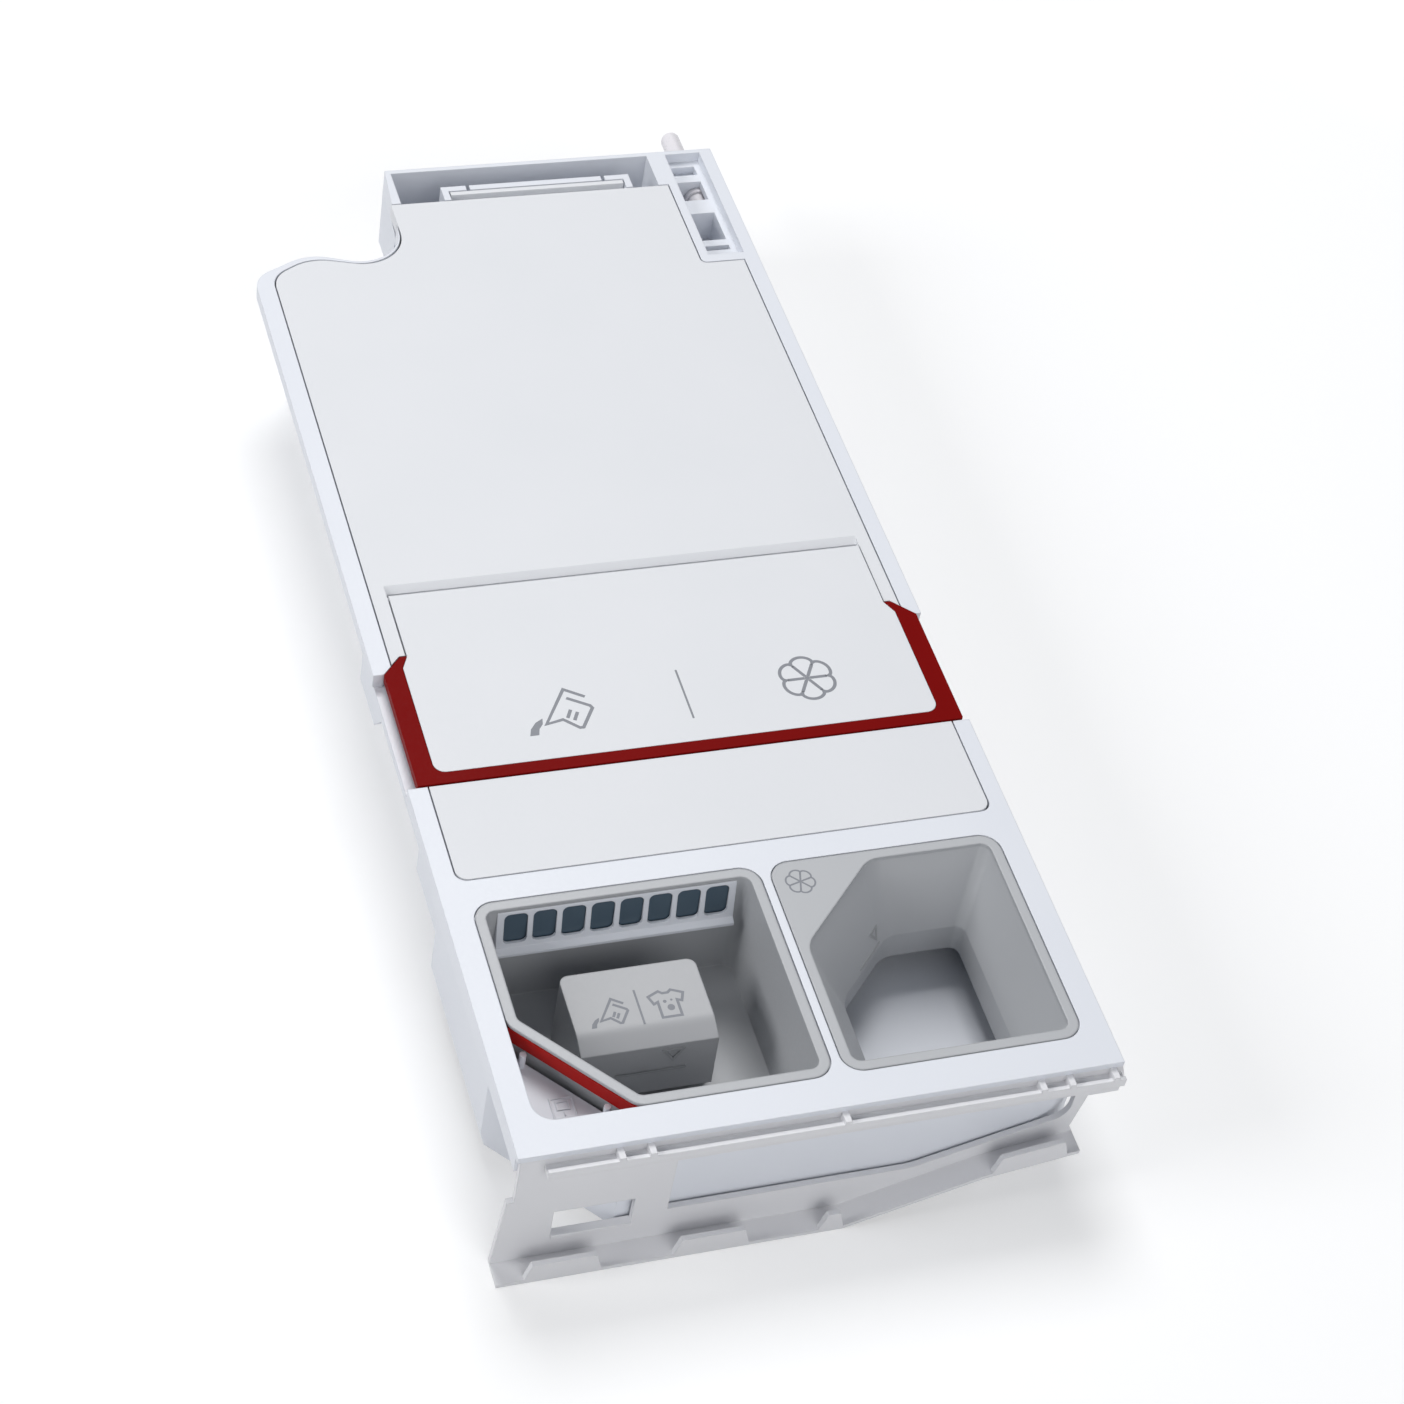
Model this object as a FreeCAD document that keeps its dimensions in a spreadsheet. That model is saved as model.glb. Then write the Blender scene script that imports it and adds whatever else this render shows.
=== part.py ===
"""Auto-dosing detergent drawer of a washing machine, as separate solids.

Every piece is drawn from one datum: x from the left edge of the top frame, y from its front edge and
z from its top face. One placement then puts the origin on the underside, below the middle of the frame.
"""
import FreeCAD, Part
import math
import os
from types import SimpleNamespace

import Sketcher

SIZES = {
    # Top frame and tub
    "frame_width": 190.0,  # outside of the top frame, side to side
    "frame_length": 447.5,  # outside of the top frame, front to back
    "body_height": 54.0,  # top face to underside
    "deck": 2.2,  # thickness of the frame round the cups
    "wall": 2.0,  # walls and floors of the tub
    "ledge": 2.2,  # thickness of the shelf that carries the cover
    "shoulder_back": 55.5,  # rear-left shoulder, before the rear edge
    "crest_in": 22.0,  # crest of the wave, from the left edge
    "crest_back": 44.7,  # crest of the wave, before the rear edge
    "notch_in": 56.0,  # inner corner of the wave, from the left edge
    "notch_back": 57.5,  # inner corner of the wave, before the rear edge
    "rear_in": 60.5,  # left side of the rear tray
    "shoulder_radius": 10.0,
    "crest_radius": 18.0,
    "notch_radius": 16.0,
    # Cup wells
    "rim_side": 8.3,  # frame width beside the cups
    "rim_front": 11.5,  # frame width before the cups
    "cup_length": 82.5,  # cup openings, front to back
    "left_cup_width": 92.7,  # detergent cup opening
    "cup_web": 2.7,  # bar between the cup openings
    "cup_radius": 7.0,  # corners of the cup openings
    "well_side": 2.6,  # well outside, from the frame's side
    "well_front": 2.8,  # well outside, from the frame's front
    "well_depth": 47.5,  # frame top to well underside
    "well_radius": 22.0,  # front corners of the well
    "well_fillet": 4.0,  # rounding under the well
    "drain_radius": 5.0,  # outlet under the detergent cup
    # Tanks, rear tray and bay
    "tank_front": 104.0,
    "tank_inset": 14.0,  # tank walls, from the frame's side
    "tank_shoulder_back": 54.0,  # rear wall of the left tank, before the rear edge
    "tank_radius": 4.0,
    "partition_in": 98.5,  # wall between the tanks, from the left edge
    "tray_length": 20.5,  # tank rear wall to the rear edge
    "tray_depth": 34.0,
    "snap_in": 79.5,  # snap strip, from the left edge
    "snap_width": 74.0,
    "snap_bar": 2.6,  # bars of the snap strip
    "snap_reach": 9.0,  # snap strip, behind the tank
    "snap_top": 0.4,  # snap strip, below the frame top
    "slit_width": 1.4,  # slits in the snap strip
    "bay_width": 24.5,
    "bay_length": 68.5,
    "bay_depth": 19.0,
    "channel_depth": 4.0,  # sunk strip along the bay
    "channel_width": 14.0,
    "bay_in": 12.0,  # middle of the channel, from the right edge
    "rod_in": 8.8,  # rod axis, from the right edge
    "rod_down": 11.5,  # rod axis, below the frame top
    "rear_rib": 5.5,  # bay ribs and windows, from the rear edge forwards
    "rear_window": 5.0,
    "second_rib": 4.2,
    "spring_window": 11.0,
    "third_rib": 8.0,
    "middle_window": 16.0,
    "fourth_rib": 3.5,
    "front_window": 2.5,
    "window_width": 10.4,
    # Side rails
    "rail_inset": 3.5,
    "rim_chamfer": 3.5,  # lower outer edges of the frame
    "rail_drop": 12.0,
    "gusset_drop": 30.5,
    "gusset_length": 31.0,
    "bridge_drop": 20.5,
    "stop_start": 190.0,
    "stop_length": 29.0,
    "stop_slope": 8.0,
    "clip_start": 280.0,
    "clip_length": 10.0,
    "clip_drop": 16.0,
    "wedge_start": 253.0,
    "wedge_length": 23.0,
    "skid_start": 312.0,
    "skid_length": 48.0,
    "skid_drop": 16.0,
    "rail_end_back": 62.0,
    # Finger recesses beside the flap
    "grip_depth": 5.6,
    "grip_front": 142.5,
    "grip_rear": 192.0,
    # Cover
    "rim_left": 6.5,
    "rim_right": 5.8,
    "rear_rim": 2.0,
    "cover_front": 103.2,
    "cover_rear_back": 19.8,
    "cover_gap": 0.5,
    "cover_depth": 5.4,
    "cover_skin": 2.0,
    "cover_radius": 4.0,
    "gasket_thick": 1.0,
    "flap_sink": 3.5,  # shallow recess that takes the flap
    "pan_depth": 10.0,  # floor of the filling pan
    "pan_side": 20.0,  # inside of the pan, from the frame's side
    "pan_front": 150.0,
    "pan_length": 72.0,
    "port_margin": 8.0,  # pan edge to filling port
    "port_radius": 9.0,
    "collar_top": 6.0,
    "bevel_rear": 231.5,
    # Filling flap
    "flap_left": 3.5,
    "flap_right": 2.0,
    "flap_front": 143.0,
    "flap_bar": 4.5,  # red bar before the panel
    "arm_left": 6.7,  # red arms beside the panel
    "arm_right": 7.0,
    "arm_rear": 198.5,
    "arm_slant": 7.0,
    "panel_jog": 2.5,
    "panel_radius": 4.0,
    "panel_thick": 2.0,
    "panel_proud": 0.4,
    "base_thick": 1.4,
    "base_rear": 222.0,
    "flap_gap": 0.5,
    "hinge_back": 226.2,
    "hinge_down": 1.7,
    "barrel_radius": 1.5,
    "pin_radius": 1.0,
    "pin_length": 2.4,
    "pin_clearance": 0.15,
    "seal_thick": 1.5,
    "run_clearance": 0.3,
    "strainer_flange": 1.2,
    "strainer_depth": 24.0,
    "strainer_wall": 1.2,
    "strainer_clearance": 0.4,
    "slot_width": 2.0,
    "slot_pitch": 6.0,
    # Cups
    "cup_clearance": 0.4,
    "cup_rim": 3.3,
    "cup_rim_thick": 1.2,
    "cup_wall": 1.5,
    "cup_depth": 44.0,
    "cup_ledge": 1.3,  # shelf under the cup rims
    "siphon_in": 54.7,
    "siphon_back": 59.0,
    "pipe_radius": 5.0,
    "pipe_wall": 1.5,
    "pipe_top": 24.0,
    "corner_ledge": 29.5,  # triangular ledge of the softener cup
    "funnel_slope": 8.0,
    "funnel_rear_slope": 12.4,
    "corner_soft": 6.0,  # more rounding beside the triangular ledge
    "funnel_left_slope": 14.0,
    "funnel_depth": 25.0,
    "skirt_depth": 36.0,
    "cap_width": 43.9,
    "cap_front": 43.0,
    "cap_length": 30.8,
    "cap_top": 16.0,
    "cap_front_gap": 4.5,
    "cap_slope": 8.0,  # front of the cap to where its top bends down
    "cap_dip": 2.8,  # drop of the top towards the front edge
    "cap_draft": 1.5,
    "cap_corner": 3.0,  # rounding of the rear corners
    "cap_wall": 1.5,
    "softener_pipe_in": 9.5,
    "softener_pipe_radius": 3.6,
    "softener_pipe_top": 20.0,
    "softener_cap_radius": 6.6,
    "softener_cap_top": 14.0,
    # Water grille and duct
    "grille_in": 16.5,
    "grille_width": 77.1,
    "grille_lean": 2.5,
    "grille_height": 14.8,
    "grille_lip": 4.5,
    "grille_lip_drop": 2.2,
    "grille_top": 1.4,
    "grille_wall": 1.2,
    "grille_window": 7.6,
    "grille_pitch": 9.29,
    "grille_window_height": 11.8,
    "grille_window_radius": 1.9,
    "duct_length": 6.0,
    "weir_drop": 2.0,  # top of the duct's weir, below the grille's top
    # Release catch
    "cut_across": 31.5,  # cut-off corner, along the front
    "cut_back": 36.5,  # cut-off corner, along the side
    "pocket_depth": 12.0,
    "catch_gap": 0.3,
    "catch_thick": 1.6,
    "catch_bar": 5.4,
    "catch_ends": 1.0,
    "catch_leg": 3.2,
    "catch_side": 2.6,  # width of the legs
    "relief_out": 9.6,  # corner below the pocket, cut off
    "catch_reach": 31.0,
    "catch_tongue": 6.8,
    "post_radius": 1.1,
    "spring_radius": 3.0,
    "spring_wire": 0.8,
    # Rear rod
    "rod_radius": 3.7,
    "rod_reach": 23.0,
    "rod_dome": 2.6,
    "collar_radius": 4.6,
    "collar_length": 2.0,
    "rod_clearance": 0.3,
    "rod_spring_radius": 3.0,
    "spring_pocket": 7.0,  # blind bore for the spring, in the third rib
    # Outlets
    "outlet_down": 44.0,
    "detergent_outlet_in": 80.0,
    "softener_outlet_in": 132.0,
    "outlet_radius": 5.0,
    "outlet_bore": 3.2,
    "outlet_flange": 8.0,
    "outlet_flange_thick": 2.0,
    "outlet_reach": 20.0,
    "groove_radius": 4.0,
    "groove_width": 2.2,
    "groove_back": 5.0,
    # Front carrier
    "carrier_thick": 2.0,
    "carrier_left": 1.0,
    "carrier_flare": 4.5,
    "carrier_right": 1.5,
    "carrier_step": 22.0,
    "tab_drop": 15.0,
    "tab_width": 10.0,
    "waist_drop": 30.0,
    "heel_in": 10.0,
    "heel_drop": 32.7,
    "knee_in": 40.0,
    "knee_drop": 38.0,
    "toe_in": 84.0,
    "lip_thick": 1.5,
    "lip_reach": 7.8,
    "rail_down": 5.0,
    "rail_reach": 4.0,
    "rail_thick": 1.8,
    "rail_rib": 2.0,
    "rail_lip": 1.4,
    "rail_lip_rise": 1.4,
    "rail_left": 8.5,
    "rib_thick": 1.2,
    "big_window_left": 50.0,
    "big_window_right": 13.0,
    "big_window_top": 14.0,
    "big_window_height": 25.0,
    "small_window_left": 14.0,
    "small_window_width": 25.0,
    "small_window_top": 30.5,
    "small_window_height": 11.5,
    "sill_reach": 0.8,
    "hook_length": 24.0,
    "hook_pitch": 46.5,
    "hook_left": 5.0,
    "hook_height": 7.0,
    "hook_thick": 1.8,
    "hook_end": 2.0,
}

TOP = "XY_Plane"
FRONT = "XZ_Plane"
SIDE = "YZ_Plane"
STRAIGHT = math.pi
PAST = 1.0  # how far a cut runs past the face it opens


class Size:
    """A length: its number, and the sheet expression that gives it."""

    def __init__(self, number, text):
        self.number = number
        self.text = text

    def __add__(self, other):
        other = as_size(other)
        return Size(self.number + other.number, f"({self.text} + {other.text})")

    def __sub__(self, other):
        other = as_size(other)
        return Size(self.number - other.number, f"({self.text} - {other.text})")

    def __mul__(self, other):
        other = as_size(other)
        return Size(self.number * other.number, f"({self.text} * {other.text})")

    def __truediv__(self, other):
        other = as_size(other)
        return Size(self.number / other.number, f"({self.text} / {other.text})")

    def __neg__(self):
        return Size(-self.number, f"(0 - {self.text})")


def as_size(value):
    if isinstance(value, Size):
        return value
    return Size(float(value), repr(float(value)))


def root(value):
    return Size(math.sqrt(value.number), f"sqrt({value.text})")


doc = FreeCAD.newDocument("detergent_drawer")
sheet = doc.addObject("Spreadsheet::Sheet", "sizes")
for row, (alias, number) in enumerate(SIZES.items(), start=1):
    sheet.set(f"A{row}", alias)
    sheet.set(f"B{row}", str(number))
    sheet.setAlias(f"B{row}", alias)
doc.recompute()

s = SimpleNamespace(**{alias: Size(number, f"sizes.{alias}") for alias, number in SIZES.items()})
zero = as_size(0)
width = s.frame_width
length = s.frame_length
seat = s.cover_depth + s.gasket_thick
slab = seat + s.ledge
pieces = []


# Drawing helpers

def place(piece, x=zero, y=zero, z=zero):
    """Move a piece from the datum corner to the frame whose origin is on the underside."""
    piece.setExpression("Placement.Base.x", (x - width / 2).text)
    piece.setExpression("Placement.Base.y", (y - length / 2).text)
    piece.setExpression("Placement.Base.z", (z + s.body_height).text)


def new_body(label):
    body = doc.addObject("PartDesign::Body", label)
    body.Label = label
    place(body)
    pieces.append(body)
    return body


def new_sketch(body, name, role, offset):
    sketch = body.newObject("Sketcher::SketchObject", name + "_sketch")
    plane = [item for item in body.Origin.OriginFeatures if item.Role == role][0]
    sketch.AttachmentSupport = [(plane, "")]
    sketch.MapMode = "FlatFace"
    sketch.setExpression("AttachmentOffset.Base.z", offset.text)
    return sketch


def draw_circle(sketch, x, y, radius):
    centre = FreeCAD.Vector(x.number, y.number, 0)
    circle = sketch.addGeometry(Part.Circle(centre, FreeCAD.Vector(0, 0, 1), radius.number))
    bind(sketch, "Radius", radius, circle)
    bind(sketch, "DistanceX", x, circle, 3)
    bind(sketch, "DistanceY", y, circle, 3)


def bind(sketch, kind, value, *where):
    index = sketch.addConstraint(Sketcher.Constraint(kind, *where, value.number))
    sketch.setExpression(f"Constraints[{index}]", value.text)


def draw_outline(sketch, corners):
    """Draw a closed outline through (x, y) or (x, y, radius) corners, each bound to the sheet."""
    corners = [(as_size(x), as_size(y), *radius) for x, y, *radius in corners]
    points = [FreeCAD.Vector(x.number, y.number, 0) for x, y, *radius in corners]
    count = len(corners)
    leave = [None] * count
    enter = [None] * count
    arcs = [None] * count
    for i, (x, y, *radius) in enumerate(corners):
        back = (points[i - 1] - points[i]).normalize()
        ahead = (points[(i + 1) % count] - points[i]).normalize()
        enter[i] = leave[i] = points[i]
        if radius:
            half = back.getAngle(ahead) / 2
            enter[i] = points[i] + back * (radius[0].number / math.tan(half))
            leave[i] = points[i] + ahead * (radius[0].number / math.tan(half))
            centre = points[i] + (back + ahead).normalize() * (radius[0].number / math.sin(half))
            left_turn = ahead.cross(back).z > 0
            first, last = (enter[i], leave[i]) if left_turn else (leave[i], enter[i])
            start = math.atan2(first.y - centre.y, first.x - centre.x)
            sweep = STRAIGHT - 2 * half
            circle = Part.Circle(centre, FreeCAD.Vector(0, 0, 1), radius[0].number)
            arcs[i] = (Part.ArcOfCircle(circle, start, start + sweep), left_turn)
    lines = []
    for i in range(count):
        lines.append(sketch.addGeometry(Part.LineSegment(leave[i], enter[(i + 1) % count])))
    for i, (x, y, *radius) in enumerate(corners):
        before, after = lines[i - 1], lines[i]
        if not radius:
            sketch.addConstraint(Sketcher.Constraint("Coincident", before, 2, after, 1))
            bind(sketch, "DistanceX", x, after, 1)
            bind(sketch, "DistanceY", y, after, 1)
            continue
        curve, left_turn = arcs[i]
        arc = sketch.addGeometry(curve)
        near, far = (1, 2) if left_turn else (2, 1)
        corner = sketch.addGeometry(Part.Point(points[i]), True)
        sketch.addConstraint([
            Sketcher.Constraint("PointOnObject", corner, 1, before),
            Sketcher.Constraint("PointOnObject", corner, 1, after),
            Sketcher.Constraint("Tangent", before, 2, arc, near),
            Sketcher.Constraint("Tangent", arc, far, after, 1),
        ])
        bind(sketch, "DistanceX", x, corner, 1)
        bind(sketch, "DistanceY", y, corner, 1)
        bind(sketch, "Radius", radius[0], arc)


def hexagon(x, y, radius):
    """Corners of a six-sided wire or bead, which has far fewer facets than a round one."""
    corners = []
    for number in range(6):
        turn = math.radians(60 * number)
        corners.append((x + radius * math.cos(turn), y + radius * math.sin(turn)))
    return corners


def draw(sketch, loops):
    for loop in loops:
        if len(loop) == 1:
            draw_circle(sketch, *loop[0])
        else:
            draw_outline(sketch, loop)


def extrude(kind, body, name, role, low, high, loops):
    """Pad or pocket the loops between two levels along the axis that the plane faces."""
    low, high = as_size(low), as_size(high)
    sketch = new_sketch(body, name, role, -high if role == FRONT else low)
    draw(sketch, loops)
    feature = body.newObject(kind, name)
    feature.Profile = sketch
    feature.setExpression("Length", (high - low).text)
    return feature


def pad(body, name, role, low, high, *loops):
    return extrude("PartDesign::Pad", body, name, role, low, high, loops)


def cut(body, name, role, low, high, *loops):
    feature = extrude("PartDesign::Pocket", body, name, role, low, high, loops)
    feature.Reversed = True
    return feature


def box(left, right, front, rear, *radius):
    """Corners of a rectangle, all with one radius if there is one."""
    return [(left, front, *radius), (right, front, *radius), (right, rear, *radius), (left, rear, *radius)]


def loft(kind, body, name, sections):
    """Loft through (level, corners) sections on the top plane."""
    sketches = []
    for number, (level, corners) in enumerate(sections):
        sketch = new_sketch(body, f"{name}_{number}", TOP, level)
        draw_outline(sketch, corners)
        sketches.append(sketch)
    feature = body.newObject(kind, name)
    feature.Profile = sketches[0]
    feature.Sections = sketches[1:]
    feature.Ruled = True
    return feature


def revolve(body, name, role, corners, axis):
    """Turn a half profile round the sketch axis, which place() has put on the real axis."""
    sketch = new_sketch(body, name, role, zero)
    draw_outline(sketch, corners)
    feature = body.newObject("PartDesign::Revolution", name)
    feature.Profile = sketch
    feature.ReferenceAxis = (sketch, [axis])
    feature.Angle = 360.0
    return feature


def round_edges(body, name, base, radius, wanted):
    """Fillet the edges of the base feature that the test picks."""
    doc.recompute()
    edges = [f"Edge{i}" for i, edge in enumerate(base.Shape.Edges, start=1) if wanted(edge)]
    feature = body.newObject("PartDesign::Fillet", name)
    feature.Base = (base, edges)
    feature.setExpression("Radius", radius.text)
    return feature


# Shared outlines

cup_left = s.rim_side
cup_right = width - s.rim_side
cup_front = s.rim_front
cup_rear = s.rim_front + s.cup_length
web_left = s.rim_side + s.left_cup_width
web_right = web_left + s.cup_web
cut_length = root(s.cut_across * s.cut_across + s.cut_back * s.cut_back)


def cut_corner(inset, outward):
    """Ends of a line along the cut-off corner, moved outward from the rim's edge, on an inset outline."""
    across = s.cut_across - outward * cut_length / s.cut_back
    back = s.cut_back - outward * cut_length / s.cut_across
    side_end = (cup_left + inset, cup_front + back - inset * back / across)
    front_end = (cup_left + across - inset * across / back, cup_front + inset)
    return side_end, front_end


def corner_line(outward, left, front):
    """Ends of the same line where it meets a left and a front wall."""
    across = s.cut_across - outward * cut_length / s.cut_back
    back = s.cut_back - outward * cut_length / s.cut_across
    side_end = (left, cup_front + back + (cup_left - left) * back / across)
    front_end = (cup_left + across + (cup_front - front) * across / back, front)
    return side_end, front_end


def left_cup_outline(inset, corner_inset, radius):
    """The detergent cup's outline, inset from the opening, with its front-left corner cut off."""
    side_end, front_end = cut_corner(inset, -corner_inset)
    return [
        (*front_end, radius),
        (web_left - inset, cup_front + inset, radius),
        (web_left - inset, cup_rear - inset, radius),
        (cup_left + inset, cup_rear - inset, radius),
        (*side_end, radius),
    ]


def frame_outline():
    return [
        (zero, zero),
        (width, zero),
        (width, length),
        (s.rear_in, length),
        (s.notch_in, length - s.notch_back, s.notch_radius),
        (s.crest_in, length - s.crest_back, s.crest_radius),
        (zero, length - s.shoulder_back, s.shoulder_radius),
    ]


def cover_outline(gap):
    left = s.rim_left + gap
    right = width - s.rim_right - gap
    bay_side = width - s.bay_width + s.wall - gap
    bay_front = length - s.bay_length + s.wall - gap
    return [
        (left, s.cover_front + gap, s.cover_radius),
        (right, s.cover_front + gap, s.cover_radius),
        (right, bay_front),
        (bay_side, bay_front, s.wall + gap),
        (bay_side, length - s.cover_rear_back - gap),
        (s.notch_in + s.rear_rim + gap, length - s.cover_rear_back - gap),
        (s.notch_in + s.rear_rim + gap, length - s.notch_back - gap, s.notch_radius),
        (s.crest_in, length - s.crest_back - s.rear_rim - gap, s.crest_radius),
        (left, length - s.shoulder_back - gap, s.shoulder_radius),
    ]


tank_rear = length - s.tray_length
bay_side = width - s.bay_width
bay_front = length - s.bay_length


def tank_corners(inset):
    """Corners of the tank block, from front left anticlockwise, for an inset of its walls."""
    round_out = s.tank_radius - inset
    round_in = s.tank_radius + inset
    left = s.tank_inset + inset
    right = width - s.tank_inset - inset
    return [
        (left, s.tank_front + inset, round_out),
        (right, s.tank_front + inset, round_out),
        (right, bay_front - inset, round_out),
        (bay_side - inset, bay_front - inset, round_in),
        (bay_side - inset, tank_rear - inset, round_out),
        (s.rear_in + inset, tank_rear - inset, round_out),
        (s.rear_in + inset, length - s.tank_shoulder_back - inset, round_in),
        (left, length - s.tank_shoulder_back - inset, round_out),
    ]


pan_left = s.pan_side
pan_right = width - s.pan_side
pan_rear = s.pan_front + s.pan_length


def ports(grow):
    """The two filling ports, grown by a margin."""
    front = s.pan_front + s.port_margin - grow
    rear = pan_rear - s.port_margin + grow
    return [
        box(pan_left + s.port_margin - grow, s.partition_in - s.port_margin + grow,
            front, rear, s.port_radius + grow),
        box(s.partition_in + s.port_margin - grow, pan_right - s.port_margin + grow,
            front, rear, s.port_radius + grow),
    ]


# Drawer body

def side_rail():
    """Lower edge of a runner rail, seen from the side, with gusset, stop, wedge, clip and skid."""
    start = s.tank_front - s.wall
    gusset_end = s.tank_front + s.gusset_length
    stop_end = s.stop_start + s.stop_length
    clip_end = s.clip_start + s.clip_length
    skid_end = s.skid_start + s.skid_length
    rail_end = length - s.rail_end_back
    return [
        (start, -slab),
        (start, -s.gusset_drop),
        (gusset_end, -s.gusset_drop),
        (gusset_end, -s.bridge_drop),
        (s.stop_start, -s.bridge_drop),
        (s.stop_start + s.stop_slope, -s.gusset_drop),
        (stop_end, -s.gusset_drop),
        (stop_end, -s.rail_drop),
        (s.wedge_start, -s.rail_drop),
        (s.wedge_start, -s.clip_drop),
        (s.wedge_start + s.wedge_length, -s.rail_drop),
        (s.clip_start, -s.rail_drop),
        (s.clip_start, -s.clip_drop),
        (clip_end, -s.clip_drop),
        (clip_end, -s.rail_drop),
        (s.skid_start, -s.rail_drop),
        (s.skid_start, -s.skid_drop),
        (skid_end, -s.skid_drop),
        (skid_end, -s.rail_drop),
        (rail_end, -s.rail_drop),
        (rail_end, -slab),
    ]


def body_blocks(body):
    pad(body, "slab", TOP, -slab, zero, frame_outline())
    out = as_size(PAST)
    wide = s.rim_chamfer + PAST
    cut(body, "rim_chamfers", FRONT, s.tank_front, length,
        [(-out, -slab - PAST), (wide, -slab - PAST), (-out, -slab + wide)],
        [(width - wide, -slab - PAST), (width + PAST, -slab - PAST), (width + PAST, -slab + wide)])
    cut(body, "deck_relief", TOP, -slab, -s.deck,
        box(-as_size(PAST), width + PAST, -as_size(PAST), s.carrier_thick),
        box(s.wall, width - s.wall, s.carrier_thick + s.wall, s.cover_front - s.wall))
    well = pad(body, "well", TOP, -s.well_depth, -s.deck, [
        (s.well_side, s.well_front, s.well_radius),
        (width - s.well_side, s.well_front, s.well_radius),
        (width - s.well_side, s.tank_front + s.wall),
        (s.well_side, s.tank_front + s.wall),
    ])
    bottom = -s.well_depth.number

    def under_well(edge):
        flat = abs(edge.BoundBox.ZMin - bottom) < 0.01 and abs(edge.BoundBox.ZMax - bottom) < 0.01
        return flat and edge.BoundBox.YMin < s.tank_front.number

    round_edges(body, "well_rounding", well, s.well_fillet, under_well)
    pad(body, "tanks", TOP, -s.body_height, -seat, tank_corners(zero))
    pad(body, "tray", TOP, -s.tray_depth, -slab,
        box(s.rear_in, bay_side, tank_rear - s.wall, length))
    pad(body, "bay", TOP, -s.bay_depth, -slab, box(bay_side, width, bay_front, length))
    pad(body, "left_rail", SIDE, s.rail_inset, s.rail_inset + s.wall, side_rail())
    pad(body, "right_rail", SIDE, width - s.rail_inset - s.wall, width - s.rail_inset, side_rail())


def cup_wells(body):
    inner_radius = s.well_radius - s.wall
    floor = -s.well_depth + s.wall
    middle = (web_left + web_right) / 2
    well_inside = s.well_front + s.wall
    cut(body, "rim_openings", TOP, -s.cup_rim_thick, zero,
        box(cup_left, web_left, cup_front, cup_rear, s.cup_radius),
        box(web_right, cup_right, cup_front, cup_rear, s.cup_radius))
    cut(body, "throats", TOP, -s.deck, zero,
        left_cup_outline(s.cup_ledge, s.cup_ledge, s.cup_radius - s.cup_ledge),
        box(web_right + s.cup_ledge, cup_right - s.cup_ledge, cup_front + s.cup_ledge,
            cup_rear - s.cup_ledge, s.cup_radius - s.cup_ledge))
    cut(body, "wells", TOP, floor, -s.deck,
        [(s.well_side + s.wall, well_inside, inner_radius), (middle - s.wall / 2, well_inside),
         (middle - s.wall / 2, s.tank_front), (s.well_side + s.wall, s.tank_front)],
        [(middle + s.wall / 2, well_inside),
         (width - s.well_side - s.wall, well_inside, inner_radius),
         (width - s.well_side - s.wall, s.tank_front), (middle + s.wall / 2, s.tank_front)])
    side_end, front_end = cut_corner(zero, -s.cup_ledge - PAST)
    cut(body, "finger_pocket", TOP, -s.deck, zero, [(cup_left, cup_front, s.cup_radius), front_end, side_end])


def catch_shelf(body):
    """White floor of the finger pocket, with the catch's guide posts; the well's corner below it is cut off."""
    edge = s.catch_gap * 2
    left = s.well_side + s.wall / 2
    front = s.well_front + s.wall / 2
    under = -s.pocket_depth - s.wall
    side_end, front_end = corner_line(edge, left, front)
    pad(body, "shelf", TOP, under, -s.pocket_depth,
        [(left, front, s.well_radius - s.wall / 2), front_end, side_end])
    inner_side, inner_front = corner_line(s.relief_out - s.wall, left, front)
    outer_side, outer_front = corner_line(s.relief_out, left, front)
    pad(body, "corner_wall", TOP, -s.well_depth, -s.pocket_depth - s.wall / 2,
        [outer_side, outer_front, inner_front, inner_side])
    outside = -as_size(PAST)
    relief_side, relief_front = corner_line(s.relief_out, outside, outside)
    cut(body, "corner_relief", TOP, -s.well_depth - PAST, under, [(outside, outside), relief_front, relief_side])
    post_line = edge + s.post_radius
    post_side, post_front = cut_corner(zero, post_line)
    posts = []
    for share in (0.14, 0.82):
        x = post_side[0] + (post_front[0] - post_side[0]) * share
        y = post_side[1] + (post_front[1] - post_side[1]) * share
        posts.append([(x, y, s.post_radius)])
    pad(body, "guide_posts", TOP, -s.pocket_depth, -s.cup_rim_thick - s.catch_bar, *posts)


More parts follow.
